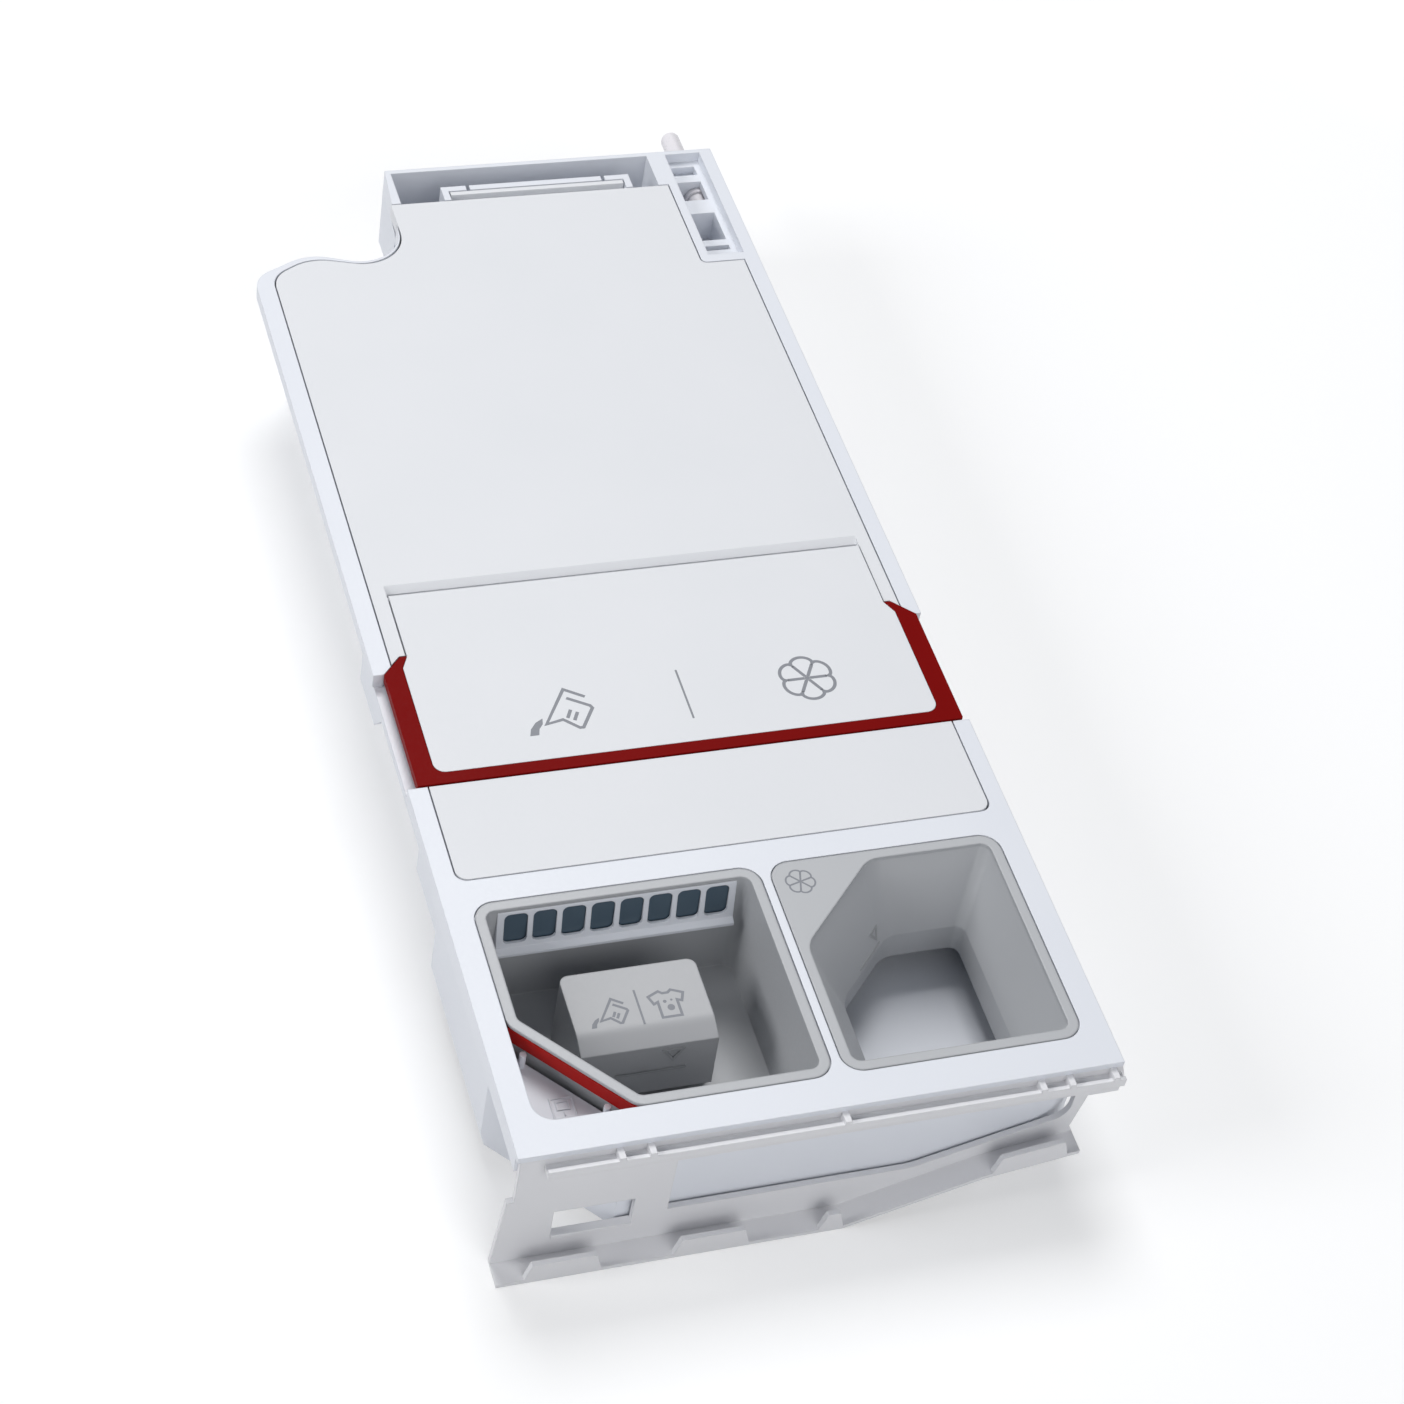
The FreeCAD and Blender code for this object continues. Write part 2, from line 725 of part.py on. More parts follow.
def tanks_and_tray(body):
    inner = tank_corners(s.wall)
    half = s.wall / 2
    floor = -s.body_height + s.wall
    left_side = s.partition_in - half
    right_side = s.partition_in + half
    cut(body, "cover_seat", TOP, -seat, zero, cover_outline(zero))
    cut(body, "tank_rooms", TOP, floor, -seat,
        [inner[0], (left_side, inner[0][1]), (left_side, inner[5][1]), *inner[5:]],
        [(right_side, inner[1][1]), *inner[1:5], (right_side, inner[4][1])])
    cut(body, "partition_dip", TOP, -s.pan_depth - s.wall - s.run_clearance, -seat,
        box(left_side - half, right_side + half, s.pan_front - s.wall - PAST, pan_rear + s.wall + PAST))
    cut(body, "tray_room", TOP, -s.tray_depth + s.wall, zero,
        box(s.rear_in + s.wall, bay_side - s.wall, tank_rear, length - s.wall))
    right = s.snap_in + s.snap_width
    tip = tank_rear + s.snap_reach
    bar = s.snap_bar

    def strip(start):
        return [(s.snap_in, start), (s.snap_in + bar, start), (s.snap_in + bar, tip - bar),
                (right - bar, tip - bar), (right - bar, start), (right, start), (right, tip), (s.snap_in, tip)]

    pad(body, "snap_root", TOP, -slab - s.wall, -seat - s.run_clearance, strip(tank_rear - s.wall / 2))
    pad(body, "snap_strip", TOP, -seat - s.run_clearance, -s.snap_top,
        strip(length - s.cover_rear_back + s.cover_gap))
    slit = s.slit_width / 2
    slits = []
    for middle in (s.snap_in + bar * 4, right - bar * 4):
        slits.append(box(middle - slit, middle + slit, tip - bar - s.cover_gap / 2, tip + PAST))
    cut(body, "slits", TOP, -slab, zero, *slits)


rod_x = width - s.rod_in
bay_x = width - s.bay_in


def bay_windows():
    """Front and rear of each window in the bay, from the rear edge forwards."""
    spans = []
    rear = length
    for rib, window in ((s.rear_rib, s.rear_window), (s.second_rib, s.spring_window),
                        (s.third_rib, s.middle_window), (s.fourth_rib, s.front_window)):
        rear = rear - rib
        spans.append((rear - window, rear))
        rear = rear - window
    return spans


def bay_and_sides(body):
    spans = bay_windows()
    half = s.channel_width / 2
    cut(body, "channel", TOP, -s.channel_depth, zero,
        box(bay_x - half, bay_x + half, bay_front + s.wall * 3, length - s.wall))
    left = bay_x - half + PAST
    right = left + s.window_width
    cut(body, "rear_window", TOP, -s.rod_down + s.rod_radius + s.rod_clearance * 2, -s.channel_depth,
        box(left, right, *spans[0]))
    cut(body, "bay_windows", TOP, -s.bay_depth + s.wall, -s.channel_depth,
        *[box(left, right, front, rear) for front, rear in spans[1:]])
    cut(body, "rod_bore", FRONT, spans[1][0] - s.spring_pocket, length + PAST,
        [(rod_x, -s.rod_down, s.rod_radius + s.rod_clearance)])
    cut(body, "collar_room", FRONT, spans[1][0], spans[1][1],
        [(rod_x, -s.rod_down, s.collar_radius + s.rod_clearance)])
    slant = s.arm_slant / s.arm_left
    grip_side = s.rim_left + PAST / 2
    slant_end = s.grip_rear + (grip_side - s.flap_left) * slant
    cut(body, "left_grip", TOP, -s.grip_depth, zero,
        [(-as_size(PAST), s.grip_front), (grip_side, s.grip_front), (grip_side, slant_end),
         (s.flap_left, s.grip_rear), (-as_size(PAST), s.grip_rear)])
    right_side = width - s.rim_right - PAST / 2
    slant_end = s.grip_rear + (width - s.flap_right - right_side) * slant
    cut(body, "right_grip", TOP, -s.grip_depth, zero,
        [(width + PAST, s.grip_front), (width + PAST, s.grip_rear), (width - s.flap_right, s.grip_rear),
         (right_side, slant_end), (right_side, s.grip_front)])


def outlets_in_body(body):
    cut(body, "outlet_bores", FRONT, tank_rear - s.wall - PAST, tank_rear + PAST,
        [(s.detergent_outlet_in, -s.outlet_down, s.outlet_radius + s.pin_clearance)],
        [(s.softener_outlet_in, -s.outlet_down, s.outlet_radius + s.pin_clearance)])
    floor = -s.well_depth + s.wall
    pipe_x = web_right + s.softener_pipe_in
    pipe_y = cup_rear - s.softener_pipe_in
    pad(body, "softener_pipe", TOP, floor, -s.softener_pipe_top, [(pipe_x, pipe_y, s.softener_pipe_radius)])
    cut(body, "softener_bore", TOP, -s.well_depth, -s.softener_pipe_top,
        [(pipe_x, pipe_y, s.softener_pipe_radius - s.pipe_wall)])
    cut(body, "drain", TOP, -s.well_depth, floor, [(s.siphon_in, s.siphon_back, s.drain_radius)])


def drawer_body():
    body = new_body("drawer_body")
    body_blocks(body)
    cup_wells(body)
    catch_shelf(body)
    tanks_and_tray(body)
    bay_and_sides(body)
    outlets_in_body(body)


# Front carrier

def hook_bar(start, reach, rise):
    """A raised bar with sloping ends along the carrier's lip, from its lower left corner."""
    x, z = start
    end = s.hook_end
    return [
        (x, z), (x + reach, z + rise * reach), (x + reach - end, z + rise * (reach - end) + s.hook_height),
        (x + end, z + rise * end + s.hook_height),
    ]


def front_carrier():
    body = new_body("front_carrier")
    low = -s.body_height + s.lip_thick
    left = s.carrier_left
    right = width + s.carrier_right
    step = left - s.carrier_flare / 2
    foot = left - s.carrier_flare
    tab = right - s.tab_width
    heel = (width - s.heel_in, -s.heel_drop)
    knee = (width - s.knee_in, -s.knee_drop)
    toe = (width - s.toe_in, low)
    pad(body, "plate", FRONT, zero, s.carrier_thick, [
        (left, -s.deck), (foot + s.carrier_flare, -s.carrier_step), (step, -s.carrier_step),
        (foot, low), toe, knee, heel, (heel[0] - s.rib_thick, -s.waist_drop), (tab, -s.tab_drop),
        (right, -s.tab_drop), (right, -s.rail_down - s.rail_thick), (width, -s.deck),
    ])
    window_left = s.big_window_left
    window_right = width - s.big_window_right
    window_low = -s.big_window_top - s.big_window_height
    cut(body, "big_window", FRONT, zero, s.carrier_thick, [
        (window_left, -s.big_window_top), (window_left, window_low),
        (toe[0] + (knee[0] - toe[0]) / 2, window_low, s.cup_radius * 3),
        (window_right, -s.waist_drop + s.lip_thick * 4, s.cup_radius), (window_right, -s.big_window_top),
    ])
    small_right = s.small_window_left + s.small_window_width
    small_low = -s.small_window_top - s.small_window_height
    cut(body, "small_window", FRONT, zero, s.carrier_thick,
        box(s.small_window_left, small_right, small_low, -s.small_window_top))
    pad(body, "sill", FRONT, -s.sill_reach, zero,
        box(s.small_window_left, small_right, small_low - s.lip_thick, small_low))
    pad(body, "rail", FRONT, -s.rail_reach, zero,
        box(s.rail_left, width, -s.rail_down - s.rail_thick, -s.rail_down))
    ribs = []
    for place_in in (s.rail_left * 3.5, s.rail_left * 4.6, width / 2 + s.rim_side / 2,
                     width - s.rail_left * 3.3, width - s.rail_left * 2.2, width - s.rail_left / 2):
        ribs.append(box(place_in, place_in + s.rail_rib, -s.rail_down, -s.deck))
    pad(body, "rail_ribs", FRONT, -s.rail_reach, zero, *ribs)
    pad(body, "rail_lip", FRONT, -s.rail_reach, -s.rail_reach + s.rail_lip,
        box(s.rail_left, width, -s.rail_down, -s.rail_down + s.rail_lip_rise))
    drop = s.lip_thick
    pad(body, "lip", FRONT, -s.lip_reach, s.carrier_thick, [
        (foot, low - drop), (toe[0], low - drop), (knee[0], knee[1] - drop), (heel[0], heel[1] - drop),
        heel, knee, toe, (foot, low),
    ])
    rise = (heel[1] - knee[1]) / (heel[0] - knee[0])
    hooks = []
    for number in range(2):
        start = s.hook_left + s.hook_pitch * number
        hooks.append(hook_bar((start, low), s.hook_length, zero))
    hooks.append(hook_bar((toe[0] - s.hook_length / 3, low), s.hook_length / 3, zero))
    start = knee[0] - s.hook_end
    hooks.append(hook_bar((start + s.hook_end * 2, knee[1] + rise * s.hook_end), s.hook_length, rise))
    pad(body, "hooks", FRONT, -s.lip_reach, -s.lip_reach + s.hook_thick, *hooks)


# Cover and filling flap

def flap_recess():
    """Shallow recess in the cover, wide where the arms lie and narrow behind them."""
    gap = s.flap_gap
    panel_left = s.flap_left + s.arm_left
    panel_right = width - s.flap_right - s.arm_right
    rear = s.hinge_back + s.barrel_radius + s.flap_gap * 2
    slant = s.arm_slant / s.arm_left
    edge = s.arm_rear + gap * 1.5
    outside = as_size(PAST)
    left_low = edge - (panel_left + outside) * slant
    right_low = edge - (width + outside - panel_right) * slant
    return [
        (-outside, s.flap_front - gap), (width + outside, s.flap_front - gap),
        (width + outside, right_low), (panel_right, edge), (panel_right - s.panel_jog + gap, edge),
        (panel_right - s.panel_jog + gap, rear), (panel_left + s.panel_jog - gap, rear),
        (panel_left + s.panel_jog - gap, edge), (panel_left, edge), (-outside, left_low),
    ]


def tank_cover():
    body = new_body("tank_cover")
    recess = flap_recess()
    strip_left = recess[6][0]
    strip_right = recess[4][0]
    recess_rear = recess[5][1]
    pad(body, "plate", TOP, -s.cover_depth, zero, cover_outline(s.cover_gap))
    cut(body, "hollow", TOP, -s.cover_depth, -s.cover_skin, tank_corners(s.wall))
    pad(body, "pan_deck", TOP, -s.cover_depth, -s.cover_skin / 2,
        box(s.tank_inset, width - s.tank_inset, s.flap_front - s.wall * 2, s.bevel_rear + s.wall))
    pad(body, "pan", TOP, -s.pan_depth - s.wall, -s.cover_depth,
        box(pan_left - s.wall, pan_right + s.wall, s.pan_front - s.wall, pan_rear + s.wall, s.port_radius))
    cut(body, "flap_recess", TOP, -s.flap_sink, zero, recess)
    cut(body, "bevel", SIDE, strip_left, strip_right,
        [(s.bevel_rear, zero), (recess_rear - PAST / 4, zero), (recess_rear - PAST / 4, -s.hinge_down)])
    cut(body, "pan_room", TOP, -s.pan_depth, -s.flap_sink,
        box(pan_left, pan_right, s.pan_front, pan_rear, s.port_radius - s.wall))
    pad(body, "collars", TOP, -s.pan_depth, -s.collar_top, *ports(s.wall))
    cut(body, "filling_ports", TOP, -s.pan_depth - s.wall, -s.collar_top, *ports(zero))
    hole = [(s.hinge_back, -s.hinge_down, s.pin_radius + s.pin_clearance)]
    depth = s.pin_length + s.flap_gap
    cut(body, "left_pin_hole", SIDE, strip_left - depth, strip_left, hole)
    cut(body, "right_pin_hole", SIDE, strip_right, strip_right + depth, hole)
    snap_left = s.snap_in + s.snap_bar + s.flap_gap
    snap_right = s.snap_in + s.snap_width - s.snap_bar - s.flap_gap
    tab_rear = tank_rear + s.snap_reach - s.snap_bar - s.flap_gap
    pad(body, "rear_tab", TOP, -s.cover_depth, -s.cover_skin * 2,
        box(snap_left, snap_right, tank_rear - s.wall, tab_rear))
    pad(body, "rear_bar", TOP, -s.cover_skin * 2, -s.flap_gap, box(snap_left, snap_right, tab_rear - s.wall, tab_rear))


def cover_gasket():
    body = new_body("cover_gasket")
    pad(body, "ring", TOP, -seat, -s.cover_depth, tank_corners(zero), tank_corners(s.wall))


def panel_outline(grow, rear):
    left = s.flap_left + s.arm_left - grow
    right = width - s.flap_right - s.arm_right + grow
    front = s.flap_front + s.flap_bar - grow
    jog = s.arm_rear - s.panel_jog * 2
    return [
        (left, front, s.panel_radius), (right, front, s.panel_radius),
        (right, jog), (right - s.panel_jog, jog + s.panel_jog * 2), (right - s.panel_jog, rear),
        (left + s.panel_jog, rear), (left + s.panel_jog, jog + s.panel_jog * 2), (left, jog),
    ]


panel_under = s.panel_proud - s.panel_thick


def flap_panel():
    body = new_body("flap_panel")
    outline = panel_outline(zero, s.hinge_back)
    left = outline[5][0]
    right = outline[4][0]
    pad(body, "plate", TOP, panel_under, s.panel_proud, outline)
    pad(body, "barrel", SIDE, left, right, [(s.hinge_back, -s.hinge_down, s.barrel_radius)])
    pin = [(s.hinge_back, -s.hinge_down, s.pin_radius)]
    pad(body, "left_pin", SIDE, left - s.pin_length, left, pin)
    pad(body, "right_pin", SIDE, right, right + s.pin_length, pin)


def flap_base():
    body = new_body("flap_base")
    left = s.flap_left
    right = width - s.flap_right
    slant_start = s.arm_rear - s.arm_slant
    inner_left = left + s.arm_left
    inner_right = right - s.arm_right
    plate_left = inner_left + s.panel_jog * 2
    plate_right = inner_right - s.panel_jog * 2
    pad(body, "frame", TOP, panel_under - s.base_thick, s.panel_proud, [
        (left, s.flap_front, s.flap_gap), (right, s.flap_front, s.flap_gap), (right, slant_start),
        (inner_right, s.arm_rear), (plate_right, s.arm_rear), (plate_right, s.base_rear),
        (plate_left, s.base_rear), (plate_left, s.arm_rear), (inner_left, s.arm_rear), (left, slant_start),
    ])
    cut(body, "panel_seat", TOP, panel_under, s.panel_proud,
        panel_outline(s.pin_clearance, s.base_rear + PAST))


def flap_gasket():
    body = new_body("flap_gasket")
    top = panel_under - s.base_thick
    left_port, right_port = ports(zero)
    margin = s.wall
    pad(body, "ring", TOP, top - s.seal_thick, top,
        box(left_port[0][0] - margin, right_port[1][0] + margin, left_port[0][1] - margin,
            left_port[2][1] + margin, s.port_radius + margin), left_port, right_port)


def strainer(label, side):
    body = new_body(label)
    port = ports(-s.strainer_clearance)[side]
    inside = ports(-s.strainer_clearance - s.strainer_wall)[side]
    flange = ports(s.wall - s.strainer_clearance)[side]
    low = -s.collar_top - s.strainer_depth
    pad(body, "flange", TOP, -s.collar_top, -s.collar_top + s.strainer_flange, flange)
    pad(body, "basket", TOP, low, -s.collar_top, port)
    cut(body, "room", TOP, low + s.strainer_wall, -s.collar_top + s.strainer_flange, inside)
    left, right = inside[0][0] + s.port_radius, inside[1][0] - s.port_radius
    front, rear = inside[0][1] + s.port_radius / 2, inside[2][1] - s.port_radius / 2
    count = int((right.number - left.number) // s.slot_pitch.number) + 1
    floor_slots = []
    wall_slots = []
    for number in range(count):
        start = left + s.slot_pitch * number
        floor_slots.append(box(start, start + s.slot_width, front, rear))
        wall_slots.append(box(start, start + s.slot_width, low + s.slot_pitch, -s.collar_top - s.slot_pitch))
    cut(body, "floor_slots", TOP, low, low + s.strainer_wall, *floor_slots)
    cut(body, "wall_slots", FRONT, port[0][1], port[2][1], *wall_slots)


# Cups and what is in them

def detergent_cup():
    body = new_body("detergent_cup")
    overhang = s.cup_clearance + s.cup_rim - s.cup_wall
    low = -s.cup_depth - s.cup_wall
    inside = s.cup_clearance + s.cup_rim
    corner_overhang = s.cup_rim - s.cup_wall
    pad(body, "rim", TOP, -s.cup_rim_thick, zero,
        left_cup_outline(s.cup_clearance, zero, s.cup_radius - s.cup_clearance))
    pad(body, "tub", TOP, low, -s.cup_rim_thick,
        left_cup_outline(overhang, corner_overhang, s.cup_radius - overhang))
    cut(body, "room", TOP, -s.cup_depth, zero,
        left_cup_outline(inside, s.cup_rim, s.cup_radius - inside))
    margin = s.grille_wall + s.catch_gap
    cut(body, "grille_opening", FRONT, cup_rear - inside - PAST, cup_rear - overhang,
        box(s.grille_in + margin, s.grille_in + s.grille_width - margin,
            -s.grille_top - s.grille_height - s.grille_wall / 2, -s.grille_top - s.catch_gap))
    pipe = (s.siphon_in, s.siphon_back)
    pad(body, "siphon_pipe", TOP, -s.cup_depth, -s.pipe_top, [(*pipe, s.pipe_radius)])
    cut(body, "siphon_bore", TOP, low, -s.pipe_top, [(*pipe, s.pipe_radius - s.pipe_wall)])


def funnel_outline(inset, slope, radius):
    """The softener cup's inside: a rectangle with its rear-left corner cut off, moved in by the slope."""
    edge = s.cup_clearance + s.cup_rim + inset
    left = web_right + edge + s.funnel_left_slope * slope
    right = cup_right - edge - s.funnel_slope * slope
    front = cup_front + edge + s.funnel_slope * slope / 2
    rear = cup_rear - edge - s.funnel_rear_slope * slope
    corner = s.corner_ledge - inset - s.funnel_left_slope * slope / 2
    return [
        (left, front, radius), (right, front, radius), (right, rear, radius),
        (left + corner, rear, radius + s.corner_soft), (left, rear - corner, radius + s.corner_soft),
    ]


def softener_cup():
    body = new_body("softener_cup")
    clear = s.cup_clearance
    outer = s.cup_radius - clear - s.cup_rim + s.cup_wall
    inner = s.cup_radius - clear - s.cup_rim
    pad(body, "rim", TOP, -s.cup_rim_thick, zero,
        box(web_right + clear, cup_right - clear, cup_front + clear, cup_rear - clear, s.cup_radius - clear))
    loft("PartDesign::AdditiveLoft", body, "funnel", [
        (-s.cup_rim_thick, funnel_outline(-s.cup_wall, 0, outer)),
        (-s.funnel_depth, funnel_outline(-s.cup_wall, 1, outer))])
    pad(body, "skirt", TOP, -s.skirt_depth, -s.funnel_depth, funnel_outline(-s.cup_wall, 1, outer))
    cut(body, "mouth", TOP, -s.cup_rim_thick, zero, funnel_outline(zero, 0, inner))
    loft("PartDesign::SubtractiveLoft", body, "funnel_room", [
        (-s.cup_rim_thick, funnel_outline(zero, 0, inner)),
        (-s.funnel_depth, funnel_outline(zero, 1, inner))])
    cut(body, "throat", TOP, -s.skirt_depth, -s.funnel_depth, funnel_outline(zero, 1, inner))


def siphon_cap():
    body = new_body("siphon_cap")
    left = s.siphon_in - s.cap_width / 2
    right = s.siphon_in + s.cap_width / 2
    front = s.cap_front
    rear = s.cap_front + s.cap_length
    low = -s.cup_depth
    lift = low + s.cap_front_gap
    skin = s.cap_wall
    bend = front + s.cap_slope
    crease = -s.cap_top - s.cap_dip
    shell = pad(body, "shell", SIDE, left, right, [
        (front, lift), (front + s.cap_front_gap, lift), (front + s.cap_front_gap * 2, low), (rear, low),
        (rear, -s.cap_top), (bend, -s.cap_top, s.cap_slope), (front + s.cap_draft, crease),
    ])

    def rear_corner(edge):
        upright = edge.BoundBox.ZLength > s.cap_top.number and edge.BoundBox.YLength < 0.01
        return upright and abs(edge.BoundBox.YMax - rear.number) < 0.01

    round_edges(body, "corner_rounding", shell, s.cap_corner, rear_corner)
    cut(body, "room", SIDE, left + skin, right - skin, [
        (front + skin, low), (rear - skin, low), (rear - skin, -s.cap_top - skin), (bend, -s.cap_top - skin),
        (front + s.cap_draft + skin, crease - skin),
    ])


def softener_siphon_cap():
    body = new_body("softener_siphon_cap")
    x = web_right + s.softener_pipe_in
    y = cup_rear - s.softener_pipe_in
    floor = -s.well_depth + s.wall
    radius = s.softener_cap_radius
    pad(body, "shell", TOP, floor, -s.softener_cap_top, [(x, y, radius)])
    cut(body, "room", TOP, floor, -s.softener_cap_top - s.cap_wall, [(x, y, radius - s.cap_wall)])
    cut(body, "inlets", FRONT, y - radius, y + radius,
        box(x - s.cap_wall, x + s.cap_wall, floor, floor + s.cap_wall * 2))


def water_grille():
    body = new_body("water_grille")
    left = s.grille_in
    right = s.grille_in + s.grille_width
    back = cup_rear - s.cup_clearance - s.cup_rim
    top = -s.grille_top
    knee = top - s.grille_height
    bottom = knee - s.grille_lip_drop
    skin = s.grille_wall
    pad(body, "hood", SIDE, left, right, [
        (back, top), (back - s.grille_lean, knee), (back - s.grille_lip, bottom + skin),
        (back - s.grille_lip, bottom), (back, bottom),
    ])
    cut(body, "hollow", SIDE, left + skin, right - skin, [
        (back, top - skin * 2), (back - s.grille_lean + skin, knee), (back - s.grille_lip + skin * 2, bottom + skin),
        (back, bottom + skin),
    ])
    count = 8
    first = left + (s.grille_width - s.grille_pitch * (count - 1) - s.grille_window) / 2
    window_top = top - (s.grille_height - s.grille_window_height) / 2
    windows = []
    for number in range(count):
        start = first + s.grille_pitch * number
        windows.append(box(start, start + s.grille_window, window_top - s.grille_window_height,
                           window_top, s.grille_window_radius))
    cut(body, "windows", FRONT, back - s.grille_lip - PAST, back, *windows)


def water_duct():
    body = new_body("water_duct")
    front = cup_rear - s.cup_clearance - s.cup_rim + s.cup_wall
    left = s.grille_in
    right = s.grille_in + s.grille_width
    low = -s.grille_top - s.grille_height - s.grille_wall
    pad(body, "channel", TOP, low, -s.deck, box(left, right, front, front + s.duct_length))
    cut(body, "room", TOP, low + s.grille_wall, -s.deck - s.grille_wall,
        box(left + s.grille_wall, right - s.grille_wall, front - PAST, front + s.duct_length - s.grille_wall))
    back = front - s.cup_wall
    gap = s.catch_gap
    weir_top = -s.grille_top - s.weir_drop
    opening_low = -s.grille_top - s.grille_height - s.grille_wall / 2
    margin = s.grille_wall + gap * 2
    pad(body, "weir", SIDE, left + margin, right - margin, [
        (front + s.grille_wall, weir_top), (back + gap, weir_top),
        (back - s.grille_lean + s.grille_wall + gap * 1.5, opening_low + gap), (front, opening_low + gap),
        (front, low + s.grille_wall / 2), (front + s.grille_wall, low + s.grille_wall / 2),
    ])


# Release catch, in its own frame: x along the cut-off corner, y inward from the rim's edge

def catch_spots():
    """Near and far face of the catch, inward from the rim's edge, and its two ends."""
    wall_face = s.cup_rim - s.cup_wall
    inner = wall_face - s.catch_gap
    return inner - s.catch_thick, inner, s.catch_ends, cut_length - s.catch_ends


def turn_to_corner(piece, x=zero, y=zero, z=zero):
    """Place a piece that is drawn along the cut-off corner, from its end at the side."""
    angle = math.degrees(math.atan2(s.cut_back.number, s.cut_across.number))
    piece.Placement = FreeCAD.Placement(FreeCAD.Vector(), FreeCAD.Rotation(FreeCAD.Vector(0, 0, -1), angle))
    along_x = s.cut_across / cut_length
    along_y = s.cut_back / cut_length
    place(piece, cup_left + x * along_x + y * along_y, cup_front + s.cut_back - x * along_y + y * along_x, z)
    piece.setExpression("Placement.Rotation.Angle", f"atan({s.cut_back.text} / {s.cut_across.text})")


def release_catch():
    body = new_body("release_catch")
    turn_to_corner(body)
    near, far, start, end = catch_spots()
    top = -s.cup_rim_thick - s.catch_gap
    bar_low = top - s.catch_bar
    cross_top = -s.catch_reach
    cross_low = cross_top - s.catch_thick * 2
    shoulder = -s.deck - s.catch_gap * 2
    left = -s.catch_leg
    right = cut_length + s.catch_leg
    pad(body, "plate", FRONT, near, far, [
        (start, top), (start, shoulder), (left, shoulder), (left, cross_low),
        (right, cross_low), (right, shoulder), (end, shoulder), (end, top),
    ])
    cut(body, "plate_window", FRONT, near, far,
        box(left + s.catch_side, right - s.catch_side, cross_top, bar_low))
    middle = cut_length / 2
    half = s.catch_tongue / 2
    pad(body, "tongue", TOP, cross_low, cross_low + s.catch_thick,
        box(middle - half, middle + half, near - s.catch_tongue, near))


def coil(label, radius, height, turns):
    """A compression spring that stands on its own origin, of square wire to keep its facets few."""
    body = new_body(label)
    sketch = new_sketch(body, "wire", FRONT, zero)
    draw_outline(sketch, box(radius - s.spring_wire, radius, zero, s.spring_wire))
    feature = body.newObject("PartDesign::AdditiveHelix", "turns")
    feature.Profile = sketch
    feature.ReferenceAxis = (sketch, ["V_Axis"])
    feature.Mode = "height-turns-growth"
    feature.Turns = turns
    feature.setExpression("Height", (height - s.spring_wire).text)
    return body


def catch_spring():
    near = catch_spots()[0]
    floor = -s.well_depth + s.wall
    seat_under = -s.catch_reach - s.catch_thick * 2
    body = coil("catch_spring", s.spring_radius, seat_under - floor, 4)
    turn_to_corner(body, cut_length / 2, near - s.catch_tongue / 2, floor)


# Rear rod, turned about y: its bodies stand on the rod's axis

def rear_plunger():
    body = new_body("rear_plunger")
    spans = bay_windows()
    collar_rear = spans[1][1] - s.rod_clearance
    collar_front = collar_rear - s.collar_length
    front = spans[1][0] + s.collar_length / 2
    tip = length + s.rod_reach
    place(body, rod_x, zero, -s.rod_down)
    revolve(body, "rod", TOP, [
        (zero, front), (s.rod_radius, front), (s.rod_radius, collar_front), (s.collar_radius, collar_front),
        (s.collar_radius, collar_rear), (s.rod_radius, collar_rear), (s.rod_radius, tip, s.rod_dome), (zero, tip),
    ], "V_Axis")


def plunger_spring():
    spans = bay_windows()
    front = spans[1][0] - s.spring_pocket
    rear = spans[1][0] + s.collar_length / 2
    body = coil("plunger_spring", s.rod_spring_radius + s.spring_wire / 2, rear - front, 3)
    body.Placement = FreeCAD.Placement(FreeCAD.Vector(), FreeCAD.Rotation(FreeCAD.Vector(-1, 0, 0), 90))
    place(body, rod_x, front, -s.rod_down)


# Outlets behind the tanks, turned about y

def outlet(name, across):
    spigot = new_body(f"{name}_outlet")
    place(spigot, across, tank_rear, -s.outlet_down)
    reach = s.outlet_reach
    groove_end = reach - s.groove_back
    groove_start = groove_end - s.groove_width
    revolve(spigot, "spigot", TOP, [
        (s.outlet_bore, -s.wall), (s.outlet_radius, -s.wall), (s.outlet_radius, zero),
        (s.outlet_flange, zero), (s.outlet_flange, s.outlet_flange_thick),
        (s.outlet_radius, s.outlet_flange_thick), (s.outlet_radius, groove_start),
        (s.groove_radius, groove_start), (s.groove_radius, groove_end),
        (s.outlet_radius, groove_end), (s.outlet_radius, reach), (s.outlet_bore, reach),
    ], "V_Axis")
    seal = new_body(f"{name}_seal")
    place(seal, across, tank_rear, -s.outlet_down)
    bead = s.groove_width / 2
    revolve(seal, "ring", TOP, hexagon(s.groove_radius + bead, groove_start + bead, bead), "V_Axis")
    valve = new_body(f"{name}_valve")
    place(valve, across, tank_rear, -s.outlet_down)
    skin = s.outlet_bore / 3
    revolve(valve, "duckbill", TOP, [
        (s.outlet_bore - skin, zero), (s.outlet_bore, zero), (s.outlet_bore, groove_start),
        (skin, groove_end), (zero, groove_end), (zero, groove_end - skin), (skin / 2, groove_end - skin),
        (s.outlet_bore - skin, groove_start),
    ], "V_Axis")


def check_and_write():
    failed = [item.Name for item in doc.Objects if {"Invalid", "Error"} & set(item.State)]
    for piece in pieces:
        if piece.Shape.isNull() or not piece.Shape.isValid() or len(piece.Shape.Solids) != 1:
            failed.append(f"{piece.Label} with {len(piece.Shape.Solids)} solids")
    if failed:
        raise RuntimeError("not built: " + ", ".join(failed))
    os.makedirs("parts", exist_ok=True)
    for piece in pieces:
        piece.Shape.exportStep(f"parts/{piece.Label}.step")


